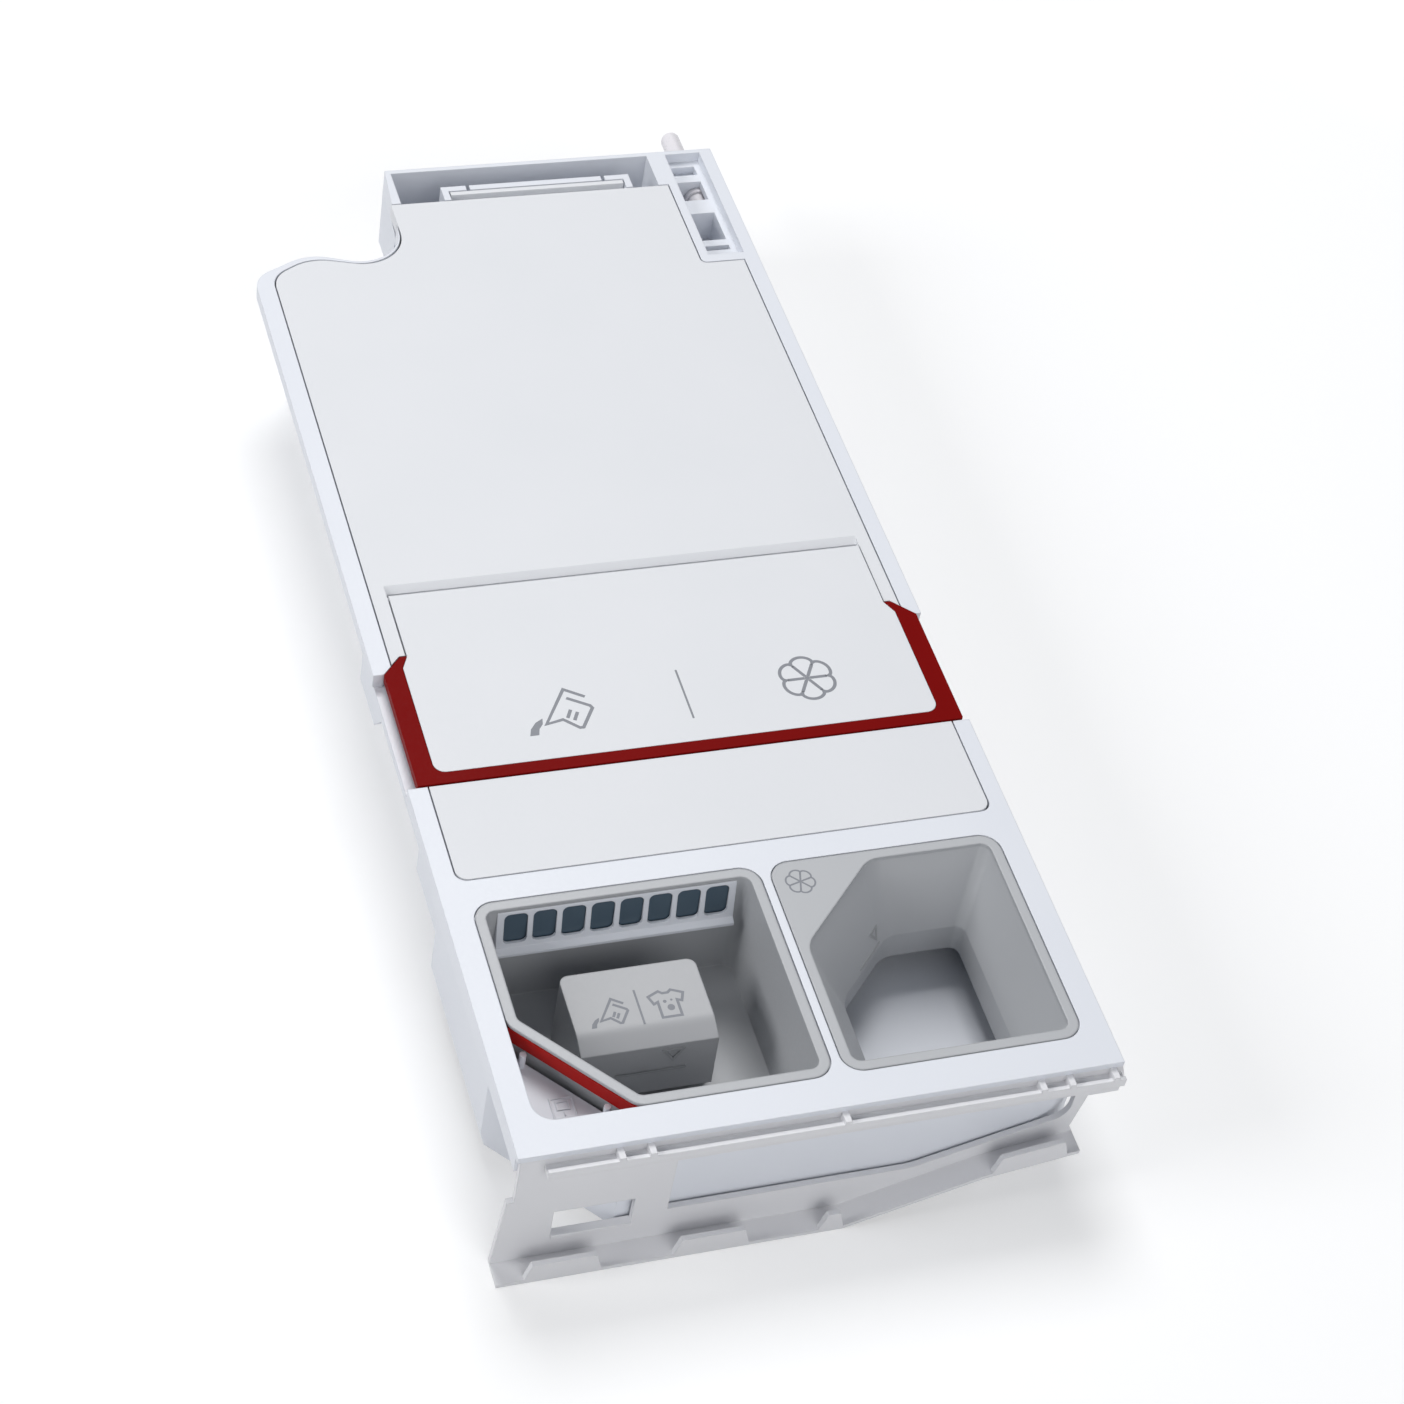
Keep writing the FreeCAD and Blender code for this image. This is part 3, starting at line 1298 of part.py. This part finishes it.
drawer_body()
front_carrier()
tank_cover()
cover_gasket()
flap_panel()
flap_base()
flap_gasket()
strainer("detergent_strainer", 0)
strainer("softener_strainer", 1)
detergent_cup()
softener_cup()
siphon_cap()
softener_siphon_cap()
water_grille()
water_duct()
release_catch()
catch_spring()
rear_plunger()
plunger_spring()
outlet("detergent", s.detergent_outlet_in)
outlet("softener", s.softener_outlet_in)
doc.recompute()
check_and_write()
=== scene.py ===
"""Looks of an auto-dosing detergent drawer: the finish of each moulding, and its prints, marks and springs."""
import math

import bmesh
import bpy
from mathutils import Matrix, Vector


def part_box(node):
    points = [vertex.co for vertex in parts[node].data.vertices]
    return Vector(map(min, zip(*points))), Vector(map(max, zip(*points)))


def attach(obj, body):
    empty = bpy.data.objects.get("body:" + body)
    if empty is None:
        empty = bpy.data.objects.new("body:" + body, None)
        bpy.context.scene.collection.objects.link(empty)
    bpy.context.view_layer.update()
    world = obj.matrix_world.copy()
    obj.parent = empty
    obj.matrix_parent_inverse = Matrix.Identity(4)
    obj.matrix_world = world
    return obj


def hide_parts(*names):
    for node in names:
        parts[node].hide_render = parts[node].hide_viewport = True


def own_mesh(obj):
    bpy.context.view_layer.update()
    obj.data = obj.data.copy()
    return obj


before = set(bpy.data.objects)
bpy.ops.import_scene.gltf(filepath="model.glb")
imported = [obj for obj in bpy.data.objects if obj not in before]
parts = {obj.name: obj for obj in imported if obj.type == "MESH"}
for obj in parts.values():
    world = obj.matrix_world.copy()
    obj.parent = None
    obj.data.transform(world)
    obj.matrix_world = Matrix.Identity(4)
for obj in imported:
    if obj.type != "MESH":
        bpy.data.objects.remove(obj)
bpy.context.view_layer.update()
MM = 0.001

# Drawer body: tub, top frame, side rails and rear tray in one large injection moulding of white ABS.
# It carries everything else and slides on its rails, so its skin is satin and its edges barely rounded.


def linear(code):
    """The linear colour of an sRGB hex value."""
    shares = [int(code[start:start + 2], 16) / 255 for start in (1, 3, 5)]
    return [v / 12.92 if v <= 0.04045 else ((v + 0.055) / 1.055) ** 2.4 for v in shares] + [1.0]


def add(tree, kind, sockets, **settings):
    """Adds a shader node. A socket takes a value, or the node and output that feed it."""
    node = tree.nodes.new("ShaderNode" + kind)
    for name, value in settings.items():
        setattr(node, name, value)
    for name, value in sockets.items():
        if isinstance(value, tuple):
            tree.links.new(value[0].outputs[value[1]], node.inputs[name])
        else:
            node.inputs[name].default_value = value
    return node


def moulded(name, pale, deep, highlight_tint, ior, gloss, grain, relief, edge):
    """An injection-moulded skin: flow shades, edges painted lighter as a highlight, the tool's grain in mm, and the
    edges' radius in mm.
    """
    material = bpy.data.materials.new(name)
    material.use_nodes = True
    tree = material.node_tree
    shader = tree.nodes["Principled BSDF"]
    spot = add(tree, "TexCoord", {})
    # The melt's front leaves shades some 45 mm across.
    flow = add(tree, "TexNoise", {"Vector": (spot, "Object"), "Scale": 1 / (45 * MM), "Detail": 3.0,
                                  "Roughness": 0.4})
    skin = add(tree, "MixRGB", {"Fac": (flow, "Fac"), "Color1": linear(pale), "Color2": linear(deep)})
    # A spark-eroded tool has pits of about 0.1 mm, which are drawn larger here so that they show.
    pits = add(tree, "TexNoise", {"Vector": (spot, "Object"), "Scale": 1 / (grain * MM), "Detail": 2.0})
    rounded = add(tree, "Bevel", {"Radius": edge * MM}, samples=6)
    bump = add(tree, "Bump", {"Height": (pits, "Fac"), "Distance": relief * MM, "Strength": 0.6,
                              "Normal": (rounded, "Normal")})
    # The rounded edges are painted a little lighter than the faces, as a painted highlight.
    face = add(tree, "NewGeometry", {})
    turn = add(tree, "VectorMath", {0: (rounded, "Normal"), 1: (face, "Normal")}, operation="DOT_PRODUCT")
    painted_highlight = add(tree, "MapRange", {"Value": (turn, "Value"), "From Min": 0.995, "From Max": 0.8,
                                  "To Min": 0.0, "To Max": 0.35})
    colour = add(tree, "MixRGB", {"Fac": (painted_highlight, "Result"), "Color1": (skin, "Color"), "Color2": linear(highlight_tint)})
    polish = add(tree, "MapRange", {"Value": (pits, "Fac"), "From Min": 0.3, "From Max": 0.7,
                                    "To Min": gloss - 0.05, "To Max": gloss + 0.05})
    for socket, node, output in (("Base Color", colour, "Color"), ("Roughness", polish, "Result"),
                                 ("Normal", bump, "Normal")):
        tree.links.new(node.outputs[output], shader.inputs[socket])
    shader.inputs["IOR"].default_value = ior
    return material


def dress(material, *names):
    """Gives CAD nodes their finish."""
    for name in names:
        for place in parts[name].material_slots:
            place.material = material


# White ABS from a lightly textured tool: cool white with a broad soft sheen.
white_abs = moulded("abs_white_satin", "#E3E6EC", "#DEE1E8", "#F1F2F6",
                    ior=1.54, gloss=0.42, grain=0.9, relief=0.012, edge=0.4)
dress(white_abs, "drawer_body")

# Front carrier: the slotted plate that the machine's handle panel hooks onto, clipped to the body's front.
# It is moulded on its own, in a plainer ABS than the body, because the panel hides it in use.
carrier_abs = moulded("abs_white_plain", "#E3E3E5", "#DCDCDF", "#F0F0F1",
                      ior=1.54, gloss=0.5, grain=0.9, relief=0.012, edge=0.4)
dress(carrier_abs, "front_carrier")

# Dosing outlets: a white spigot for each tank, pushed through the rear wall and sealed in the housing's socket.
# An O-ring sits in the spigot's groove, and a soft slit valve inside keeps the tank from dripping.
dress(white_abs, "detergent_outlet", "softener_outlet")

# EPDM rubber, compression moulded: near black and matt, with a pale dusty bloom in patches.
epdm = bpy.data.materials.new("epdm_moulded")
epdm.use_nodes = True
tree = epdm.node_tree
spot = add(tree, "TexCoord", {})
bloom = add(tree, "TexNoise", {"Vector": (spot, "Object"), "Scale": 1 / (6 * MM), "Detail": 6.0, "Roughness": 0.7})
dust = add(tree, "MapRange", {"Value": (bloom, "Fac"), "From Min": 0.5, "From Max": 0.8,
                              "To Min": 0.0, "To Max": 0.5})
tint = add(tree, "MixRGB", {"Fac": (dust, "Result"), "Color1": linear("#2A2B2D"), "Color2": linear("#4A4B4D")})
skin = add(tree, "TexNoise", {"Vector": (spot, "Object"), "Scale": 1 / (0.4 * MM), "Detail": 2.0})
bump = add(tree, "Bump", {"Height": (skin, "Fac"), "Distance": 0.02 * MM, "Strength": 0.7})
shader = tree.nodes["Principled BSDF"]
tree.links.new(tint.outputs["Color"], shader.inputs["Base Color"])
tree.links.new(bump.outputs["Normal"], shader.inputs["Normal"])
shader.inputs["Roughness"].default_value = 0.72
shader.inputs["IOR"].default_value = 1.52
dress(epdm, "detergent_valve", "softener_valve")


def tube(name, path, radius, closed, material):
    """A round bar along points in metres, as a mesh; an open one gets flat ends."""
    sides = 12
    count = len(path)
    mesh = bmesh.new()
    rings = []
    up = Vector((0.0, 0.0, 1.0))
    for i, point in enumerate(path):
        before = path[i - 1] if closed or i > 0 else point
        after = path[(i + 1) % count] if closed or i < count - 1 else point
        ahead = (after - before).normalized()
        if abs(ahead.dot(up)) > 0.9:
            up = Vector((0.0, 1.0, 0.0))
        out = ahead.cross(up).normalized()
        lift = out.cross(ahead)
        turns = [2 * math.pi * k / sides for k in range(sides)]
        rings.append([mesh.verts.new(point + (out * math.cos(a) + lift * math.sin(a)) * radius) for a in turns])
    pairs = list(zip(rings, rings[1:])) + ([(rings[-1], rings[0])] if closed else [])
    for first, second in pairs:
        for k in range(sides):
            mesh.faces.new((first[k], first[(k + 1) % sides], second[(k + 1) % sides], second[k]))
    if not closed:
        mesh.faces.new(rings[0])
        mesh.faces.new(rings[-1])
    bmesh.ops.recalc_face_normals(mesh, faces=mesh.faces[:])
    for face in mesh.faces:
        face.smooth = True
    data = bpy.data.meshes.new(name)
    mesh.to_mesh(data)
    mesh.free()
    data.materials.append(material)
    piece = bpy.data.objects.new(name, data)
    bpy.context.scene.collection.objects.link(piece)
    return piece


for side in ("detergent", "softener"):
    low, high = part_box(side + "_seal")
    middle = (low + high) / 2
    bead = (high.y - low.y) / 2
    bend = (high.x - low.x) / 2 - bead
    around = [2 * math.pi * k / 48 for k in range(48)]
    ring = tube(side + "_o_ring", [middle + Vector((math.cos(a), 0, math.sin(a))) * bend for a in around],
                bead, True, epdm)
    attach(ring, "drawer")
    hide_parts(side + "_seal")

# Sprung rod: a white rod that stands out of the rear, pushed back by a coil in a blind bore of the bay.
# The rod is moulded in acetal, which is harder and slicker than the body, and the coil is stainless wire.
acetal = moulded("acetal_white", "#E8E5E8", "#E2DFE3", "#F2F0F2",
                 ior=1.48, gloss=0.3, grain=0.7, relief=0.006, edge=0.3)
dress(acetal, "rear_plunger")

# Stainless spring wire, drawn: bright metal with fine scratches along the wire.
wire = bpy.data.materials.new("stainless_wire_drawn")
wire.use_nodes = True
tree = wire.node_tree
spot = add(tree, "TexCoord", {})
drawn = add(tree, "TexNoise", {"Vector": (spot, "Object"), "Scale": 1 / (0.5 * MM), "Detail": 4.0})
metal = add(tree, "MixRGB", {"Fac": (drawn, "Fac"), "Color1": linear("#C4C6C9"), "Color2": linear("#A9ACB0")})
polish = add(tree, "MapRange", {"Value": (drawn, "Fac"), "To Min": 0.22, "To Max": 0.38})
shader = tree.nodes["Principled BSDF"]
tree.links.new(metal.outputs["Color"], shader.inputs["Base Color"])
tree.links.new(polish.outputs["Result"], shader.inputs["Roughness"])
shader.inputs["Metallic"].default_value = 1.0


def coil(name, node, axis, thick, turns):
    """A round-wire coil, with a closed turn at each end, in the room of a CAD spring."""
    low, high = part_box(node)
    middle = (low + high) / 2
    across = [k for k in range(3) if k != axis]
    bend = (high[across[0]] - low[across[0]]) / 2 - thick / 2
    steps = 28
    whole = (turns + 2) * steps
    path = []
    for k in range(whole + 1):
        turn = k / steps
        rise = min(max((turn - 1) / turns, 0.0), 1.0)
        # The end turns lie close, a wire's width apart.
        ends = min(turn, 1.0) + max(turn - 1 - turns, 0.0)
        along = low[axis] + thick / 2 + ends * thick
        along += rise * (high[axis] - low[axis] - 3 * thick)
        point = [0.0, 0.0, 0.0]
        point[axis] = along
        point[across[0]] = middle[across[0]] + bend * math.cos(2 * math.pi * turn)
        point[across[1]] = middle[across[1]] + bend * math.sin(2 * math.pi * turn)
        path.append(Vector(point))
    spring = tube(name, path, thick / 2, False, wire)
    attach(spring, "drawer")
    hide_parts(node)
    return spring


low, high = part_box("plunger_spring")
rod_spring = coil("rod_coil", "plunger_spring", axis=1, thick=0.7 * MM, turns=4)
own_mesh(rod_spring)

# Water duct and grille: water from the machine enters through eight rounded windows in the cup's rear wall.
# The grille is a white moulding pressed into the cup; the duct's dark slate is a painted shade behind the windows.
duct_painted_shade = moulded("polypropylene_slate_painted_shade", "#4E606E", "#41525F", "#6C7E8B",
                   ior=1.49, gloss=0.35, grain=0.8, relief=0.01, edge=0.3)
dress(duct_painted_shade, "water_duct")
dress(white_abs, "water_grille")

# Tank cover and its gasket: the large white lid that closes both tanks, pressed down on a rubber gasket.
# It is moulded in ABS from a finely eroded tool, so it is flatter in gloss and warmer than the frame.
cover_abs = moulded("abs_white_eroded", "#E3E4E7", "#DEE0E3", "#EFF0F2",
                    ior=1.54, gloss=0.52, grain=0.7, relief=0.015, edge=0.35)
dress(cover_abs, "tank_cover")
dress(epdm, "cover_gasket")

# Strainers: slotted baskets that hang in the two filling ports and hold back lumps.
# They are natural polypropylene, milky and slightly see-through at the thin walls.
natural_pp = moulded("polypropylene_natural", "#E4E5E1", "#D9DBD6", "#ECEDEA",
                     ior=1.49, gloss=0.35, grain=0.8, relief=0.008, edge=0.3)
natural_pp.node_tree.nodes["Principled BSDF"].inputs["Subsurface Weight"].default_value = 0.15
natural_pp.node_tree.nodes["Principled BSDF"].inputs["Subsurface Radius"].default_value = (0.002, 0.002, 0.0018)
dress(natural_pp, "detergent_strainer", "softener_strainer")

# Filling flap: a white panel on a red base, hinged at its rear edge, over a soft gasket.
# The red base shows as a bar along the front and two short arms, smooth but low in sheen, so the red stays deep.
red_abs = moulded("abs_red_semigloss", "#830C0B", "#780908", "#9A2420",
                  ior=1.54, gloss=0.34, grain=0.9, relief=0.008, edge=0.35)
red_abs.node_tree.nodes["Principled BSDF"].inputs["Specular IOR Level"].default_value = 0.015
dress(red_abs, "flap_base")
dress(epdm, "flap_gasket")
dress(cover_abs, "flap_panel")

# Prints on the flap panel: a pouring jug, a thin rule and a blossom, pad printed in one grey ink.
# The ink is a film of a few hundredths of a millimetre, slightly uneven, as a rubber pad lays it down.
ink = bpy.data.materials.new("pad_print_ink_grey")
ink.use_nodes = True
tree = ink.node_tree
spot = add(tree, "TexCoord", {})
cover = add(tree, "TexNoise", {"Vector": (spot, "Object"), "Scale": 1 / (1.5 * MM), "Detail": 4.0, "Roughness": 0.6})
film = add(tree, "MixRGB", {"Fac": (cover, "Fac"), "Color1": linear("#82858C"), "Color2": linear("#777A81")})
shader = tree.nodes["Principled BSDF"]
tree.links.new(film.outputs["Color"], shader.inputs["Base Color"])
shader.inputs["Roughness"].default_value = 0.5
shader.inputs["IOR"].default_value = 1.5


def line(sheet, points, wide, closed=False):
    """Adds a flat line of that width through points in mm."""
    points = [Vector(point) for point in points]
    count = len(points)
    rows = []
    for i, point in enumerate(points):
        before = points[i - 1] if closed or i > 0 else None
        after = points[(i + 1) % count] if closed or i < count - 1 else None
        into = (point - before if before is not None else after - point).normalized()
        onto = (after - point if after is not None else point - before).normalized()
        left = Vector((-into.y, into.x))
        mitre = (left + Vector((-onto.y, onto.x))).normalized()
        reach = wide / 2 / max(mitre.dot(left), 0.5)
        rows.append([sheet.verts.new((*(point + mitre * reach * way), 0.0)) for way in (1, -1)])
    for first, second in list(zip(rows, rows[1:])) + ([(rows[-1], rows[0])] if closed else []):
        sheet.faces.new((first[0], first[1], second[1], second[0]))


def patch(sheet, points):
    """Adds a filled outline, given counter-clockwise in mm."""
    sheet.faces.new([sheet.verts.new((x, y, 0.0)) for x, y in points])


def printed(name, sheet, origin, right, up, size, film, material, body):
    """Lays a drawing in mm on a face, as a film of that thickness in mm, and lets it ride on the body."""
    out = Vector(right).cross(Vector(up)).normalized()
    grown = bmesh.ops.extrude_face_region(sheet, geom=sheet.faces[:])["geom"]
    bmesh.ops.translate(sheet, verts=[v for v in grown if isinstance(v, bmesh.types.BMVert)], vec=(0, 0, film / size))
    bmesh.ops.recalc_face_normals(sheet, faces=sheet.faces[:])
    turn = Matrix((Vector(right).normalized(), Vector(up).normalized(), out)).transposed().to_4x4()
    sheet.transform(Matrix.Translation(origin) @ turn @ Matrix.Scale(size * MM, 4))
    data = bpy.data.meshes.new(name)
    sheet.to_mesh(data)
    sheet.free()
    data.materials.append(material)
    piece = bpy.data.objects.new(name, data)
    bpy.context.scene.collection.objects.link(piece)
    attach(piece, body)


def jug(wide):
    """A measuring jug, tipped to pour, about 25 mm across: rim, base, spout and handle in one stroke."""
    sheet = bmesh.new()
    line(sheet, [(3.0, 5.3), (9.9, 0.9), (10.4, -0.2), (5.4, -8.0), (4.2, -8.0), (-0.4, -3.7), (-6.2, -4.9),
                 (2.9, 9.2), (9.2, 5.0)], wide)
    for x, y in ((2.2, -1.6), (4.2, -2.9)):
        line(sheet, [(x + 0.9, y + 1.7), (x - 0.9, y - 1.7)], wide)
    patch(sheet, [(-6.9, -2.2), (-9.6, -3.7), (-11.8, -6.3), (-12.7, -9.1), (-9.7, -9.1), (-9.0, -6.6), (-7.4, -4.6)])
    return sheet


def blossom(wide):
    """A six-petalled blossom, about 20 mm across: a lobed edge, and a line to each notch."""
    sheet = bmesh.new()
    around = [math.radians(k) for k in range(0, 360, 3)]
    radii = [7.4 + 2.0 * math.sqrt(abs(math.sin(3 * a))) for a in around]
    line(sheet, [(r * math.cos(a), r * math.sin(a)) for r, a in zip(radii, around)], wide, closed=True)
    for k in range(6):
        a = math.radians(60 * k)
        line(sheet, [(r * math.cos(a), r * math.sin(a)) for r in (wide * 0.8, 7.4 - wide / 2)], wide)
    patch(sheet, [(wide * 0.8 * math.cos(math.radians(k)), wide * 0.8 * math.sin(math.radians(k)))
                  for k in range(0, 360, 30)])
    return sheet


low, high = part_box("drawer_body")
corner = Vector((low.x, low.y, high.z))
RIGHT, BACK = (1, 0, 0), (0, 1, 0)
# Thickness of the ink and height of the moulded marks, in mm.
INK_FILM, RAISED = 0.02, 0.25
FULL_SIZE = 1.0


def spot_at(x, y, z):
    """A place in mm from the front left top corner of the frame."""
    return corner + Vector((x, y, z)) * MM


panel_top = (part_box("flap_panel")[1].z - corner.z) / MM
printed("flap_jug_print", jug(1.15), spot_at(56.5, 167.0, panel_top), RIGHT, BACK, FULL_SIZE, INK_FILM, ink,
        "flap")
printed("flap_blossom_print", blossom(1.15), spot_at(141.4, 168.5, panel_top), RIGHT, BACK, FULL_SIZE, INK_FILM,
        ink, "flap")
rule = bmesh.new()
line(rule, [(0, -10.9), (0, 10.9)], 0.7)
printed("flap_rule_print", rule, spot_at(98.6, 168.0, panel_top), RIGHT, BACK, FULL_SIZE, INK_FILM, ink,
        "flap")

# Detergent and softener cups: grey trays that drop into the frame's two wells and lift out to be rinsed.
# They are polypropylene, a softer plastic than the frame, with a satin skin.
grey_pp = moulded("polypropylene_grey", "#B6B8BB", "#AFB1B4", "#C9CBCD",
                  ior=1.49, gloss=0.4, grain=0.9, relief=0.012, edge=0.8)
dress(grey_pp, "detergent_cup", "softener_cup")

# Marks on the softener cup: a small blossom printed on its corner ledge, and a raised level mark on the slope.
printed("softener_blossom_print", blossom(1.2), spot_at(112.7, 85.2, 0.0), (0.97, 0.26, 0), (-0.26, 0.97, 0), 0.5,
        INK_FILM, ink, "drawer")
# The same plastic at a raised mark, with crisp edges, coloured darker than the walls as a painted shade.
mark_painted_shade = moulded("polypropylene_raised_mark_painted_shade", "#A3A4A6", "#9B9C9F", "#BCBDBF",
                  ior=1.49, gloss=0.4, grain=0.9, relief=0.012, edge=0.08)
mark = bmesh.new()
line(mark, [(-2.0, 3.4), (2.0, 3.4), (0, 0)], 0.6, closed=True)
line(mark, [(-13.0, -2.0), (1.0, -2.0)], 0.5)
printed("softener_level_mark", mark, spot_at(138.73, 75.17, -22.0), (1, 1, 0), (-0.353, 0.353, 0.866), FULL_SIZE,
        RAISED, mark_painted_shade, "drawer")

# Siphon caps: lighter grey covers that stand over the cups' siphon pipes and lift off for cleaning.
# The large one shows the room for powder or liquid, with a print on its top and a raised level mark in front.
pale_pp = moulded("polypropylene_pale_grey", "#B1B2B4", "#AAABAE", "#C6C7C9",
                  ior=1.49, gloss=0.42, grain=0.9, relief=0.012, edge=0.7)
dress(pale_pp, "siphon_cap", "softener_siphon_cap")
CAP_TOP = -16.0
printed("cap_jug_print", jug(1.6), spot_at(45.0, 57.7, CAP_TOP), RIGHT, BACK, 0.55, INK_FILM, ink, "drawer")
rule = bmesh.new()
line(rule, [(0, -6.6), (0, 6.6)], 0.7)
printed("cap_rule_print", rule, spot_at(54.5, 58.2, CAP_TOP), RIGHT, BACK, FULL_SIZE, INK_FILM, ink, "drawer")
shirt = bmesh.new()
line(shirt, [(-2.0, 5.0), (-5.6, 3.4), (-4.5, 0.4), (-3.1, 1.0), (-3.1, -5.0), (3.1, -5.0), (3.1, 1.0), (4.5, 0.4),
             (5.6, 3.4), (2.0, 5.0), (0.9, 4.1), (-0.9, 4.1)], 0.9, closed=True)
for x, y, r in ((0.5, -1.6, 1.2), (-0.9, 0.9, 0.6), (1.3, 1.2, 0.4)):
    patch(shirt, [(x + r * math.cos(math.radians(k)), y + r * math.sin(math.radians(k))) for k in range(0, 360, 30)])
printed("cap_shirt_print", shirt, spot_at(63.8, 58.0, CAP_TOP), RIGHT, BACK, FULL_SIZE, INK_FILM, ink, "drawer")
# The front leans back by 1.5 mm over its height of 20.7 mm, from the crease below the top.
mark = bmesh.new()
line(mark, [(-2.9, -2.2), (2.9, -2.2), (0, -6.6)], 0.9, closed=True)
line(mark, [(-17.8, -10.9), (4.6, -10.9)], 0.7)
printed("cap_level_mark", mark, spot_at(62.4, 44.5, -18.8), RIGHT, (0, 1.5, 20.7), FULL_SIZE, 2 * RAISED, mark_painted_shade,
        "drawer")

# Release catch: the red bar across the front-left corner, which a fingertip presses down to free the drawer.
# It is ABS, guided between the cup and the body, and a small coil below lifts it again.
catch_abs = moulded("abs_red_satin", "#AE1D18", "#A21814", "#BC3A34",
                    ior=1.54, gloss=0.36, grain=0.9, relief=0.01, edge=0.5)
catch_abs.node_tree.nodes["Principled BSDF"].inputs["Specular IOR Level"].default_value = 0.1
dress(catch_abs, "release_catch")
low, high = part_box("catch_spring")
catch_coil = coil("catch_coil", "catch_spring", axis=2, thick=0.7 * MM, turns=4)
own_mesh(catch_coil)

# Mark on the pocket's floor: a small raised picture of the drawer, moulded with the body.
# It shows where the fingertip goes, and it has the body's own colour.
mark = bmesh.new()
line(mark, [(-3.4, 3.6), (-3.4, -3.8), (3.4, -3.8), (3.4, 3.6)], 0.6, closed=True)
line(mark, [(-1.9, 2.2), (-1.9, -0.6), (1.9, -0.6), (1.9, 2.2)], 0.5, closed=True)
line(mark, [(0, -1.6), (0, -3.0)], 0.5)
printed("pocket_mark", mark, spot_at(20.8, 23.3, -12.0), RIGHT, BACK, FULL_SIZE, RAISED, white_abs, "drawer")

# Studio: a white paper floor, a large soft light high behind the drawer, and weaker ones low at the left and front.
# The room is dark otherwise, so the cups and the finger pocket fall into shade, as in a catalogue picture.


def looked_at(tree):
    """Gives 1 to the rays that show the paper or the room to the eye, a mirror or glass, and 0 to the rest."""
    path = add(tree, "LightPath", {})
    seen = add(tree, "Math", {0: (path, "Is Camera Ray"), 1: (path, "Is Glossy Ray")}, operation="MAXIMUM")
    return add(tree, "Math", {0: (seen, "Value"), 1: (path, "Is Transmission Ray")}, operation="MAXIMUM")


floor_mesh = bpy.data.meshes.new("floor")
FLOOR_REACH = 14
floor_mesh.from_pydata([(x * FLOOR_REACH, y * FLOOR_REACH, 0) for x, y in ((-1, -1), (1, -1), (1, 1), (-1, 1))],
                       [], [(0, 1, 2, 3)])
floor = bpy.data.objects.new("floor", floor_mesh)
bpy.context.scene.collection.objects.link(floor)
paper = bpy.data.materials.new("matt_white_paper")
paper.use_nodes = True
tree = paper.node_tree
shader = tree.nodes["Principled BSDF"]
shader.inputs["Base Color"].default_value = linear("#D8D8D8")
shader.inputs["Roughness"].default_value = 0.9
# The paper reads as white to the camera. It keeps the shadow near the drawer, and is plain white further out.
shown = looked_at(tree)
spot = add(tree, "TexCoord", {})
away = add(tree, "VectorMath", {0: (spot, "Object")}, operation="LENGTH")
plain = add(tree, "MapRange", {"Value": (away, "Value"), "From Min": 0.5, "From Max": 1.5,
                               "To Min": 0.36, "To Max": 1.0})
lift = add(tree, "Math", {0: (shown, "Value"), 1: (plain, "Result")}, operation="MULTIPLY")
shader.inputs["Emission Color"].default_value = linear("#FFFFFF")
tree.links.new(lift.outputs["Value"], shader.inputs["Emission Strength"])
floor_mesh.materials.append(paper)

world = bpy.data.worlds.new("studio")
bpy.context.scene.world = world
world.use_nodes = True
tree = world.node_tree
sky = tree.nodes["Background"]
# The room lights the drawer weakly and faintly blue, which shows in the shades, and is seen as white as the paper.
shown = looked_at(tree)
air = add(tree, "MixRGB", {"Fac": (shown, "Value"), "Color1": linear("#E0EBFF"), "Color2": linear("#FFFFFF")})
level = add(tree, "MapRange", {"Value": (shown, "Value"), "To Min": 0.12, "To Max": 1.0})
tree.links.new(air.outputs["Color"], sky.inputs["Color"])
tree.links.new(level.outputs["Result"], sky.inputs["Strength"])

for name, place, watts, size in (("rear", (0.15, 1.5, 2.6), 51.8, 1.3), ("left", (-2.6, 0.0, 1.45), 38.4, 1.2),
                                 ("front", (0.4, -2.68, 1.35), 37.5, 2.4)):
    lamp = bpy.data.lights.new(name, "AREA")
    lamp.energy = watts
    lamp.size = size
    light = bpy.data.objects.new(name, lamp)
    light.location = place
    light.rotation_euler = (-Vector(place)).to_track_quat("-Z", "Y").to_euler()
    bpy.context.scene.collection.objects.link(light)

# Camera: above the front left of the drawer and rolled, so that the drawer lies across the picture.
ahead = Vector((0.28883, 0.62952, -0.72131))
above = Vector((0.11522, 0.72509, 0.67895))
across = ahead.cross(above)
lens = bpy.data.cameras.new("camera")
lens.sensor_width = 36.0
lens.lens = 83.24
camera = bpy.data.objects.new("camera", lens)
camera.matrix_world = Matrix.Translation((-0.2979, -0.72755, 0.8191)) @ Matrix(
    (across, above, -ahead)).transposed().to_4x4()
bpy.context.scene.collection.objects.link(camera)
bpy.context.scene.camera = camera
bpy.context.scene.view_settings.view_transform = "Standard"
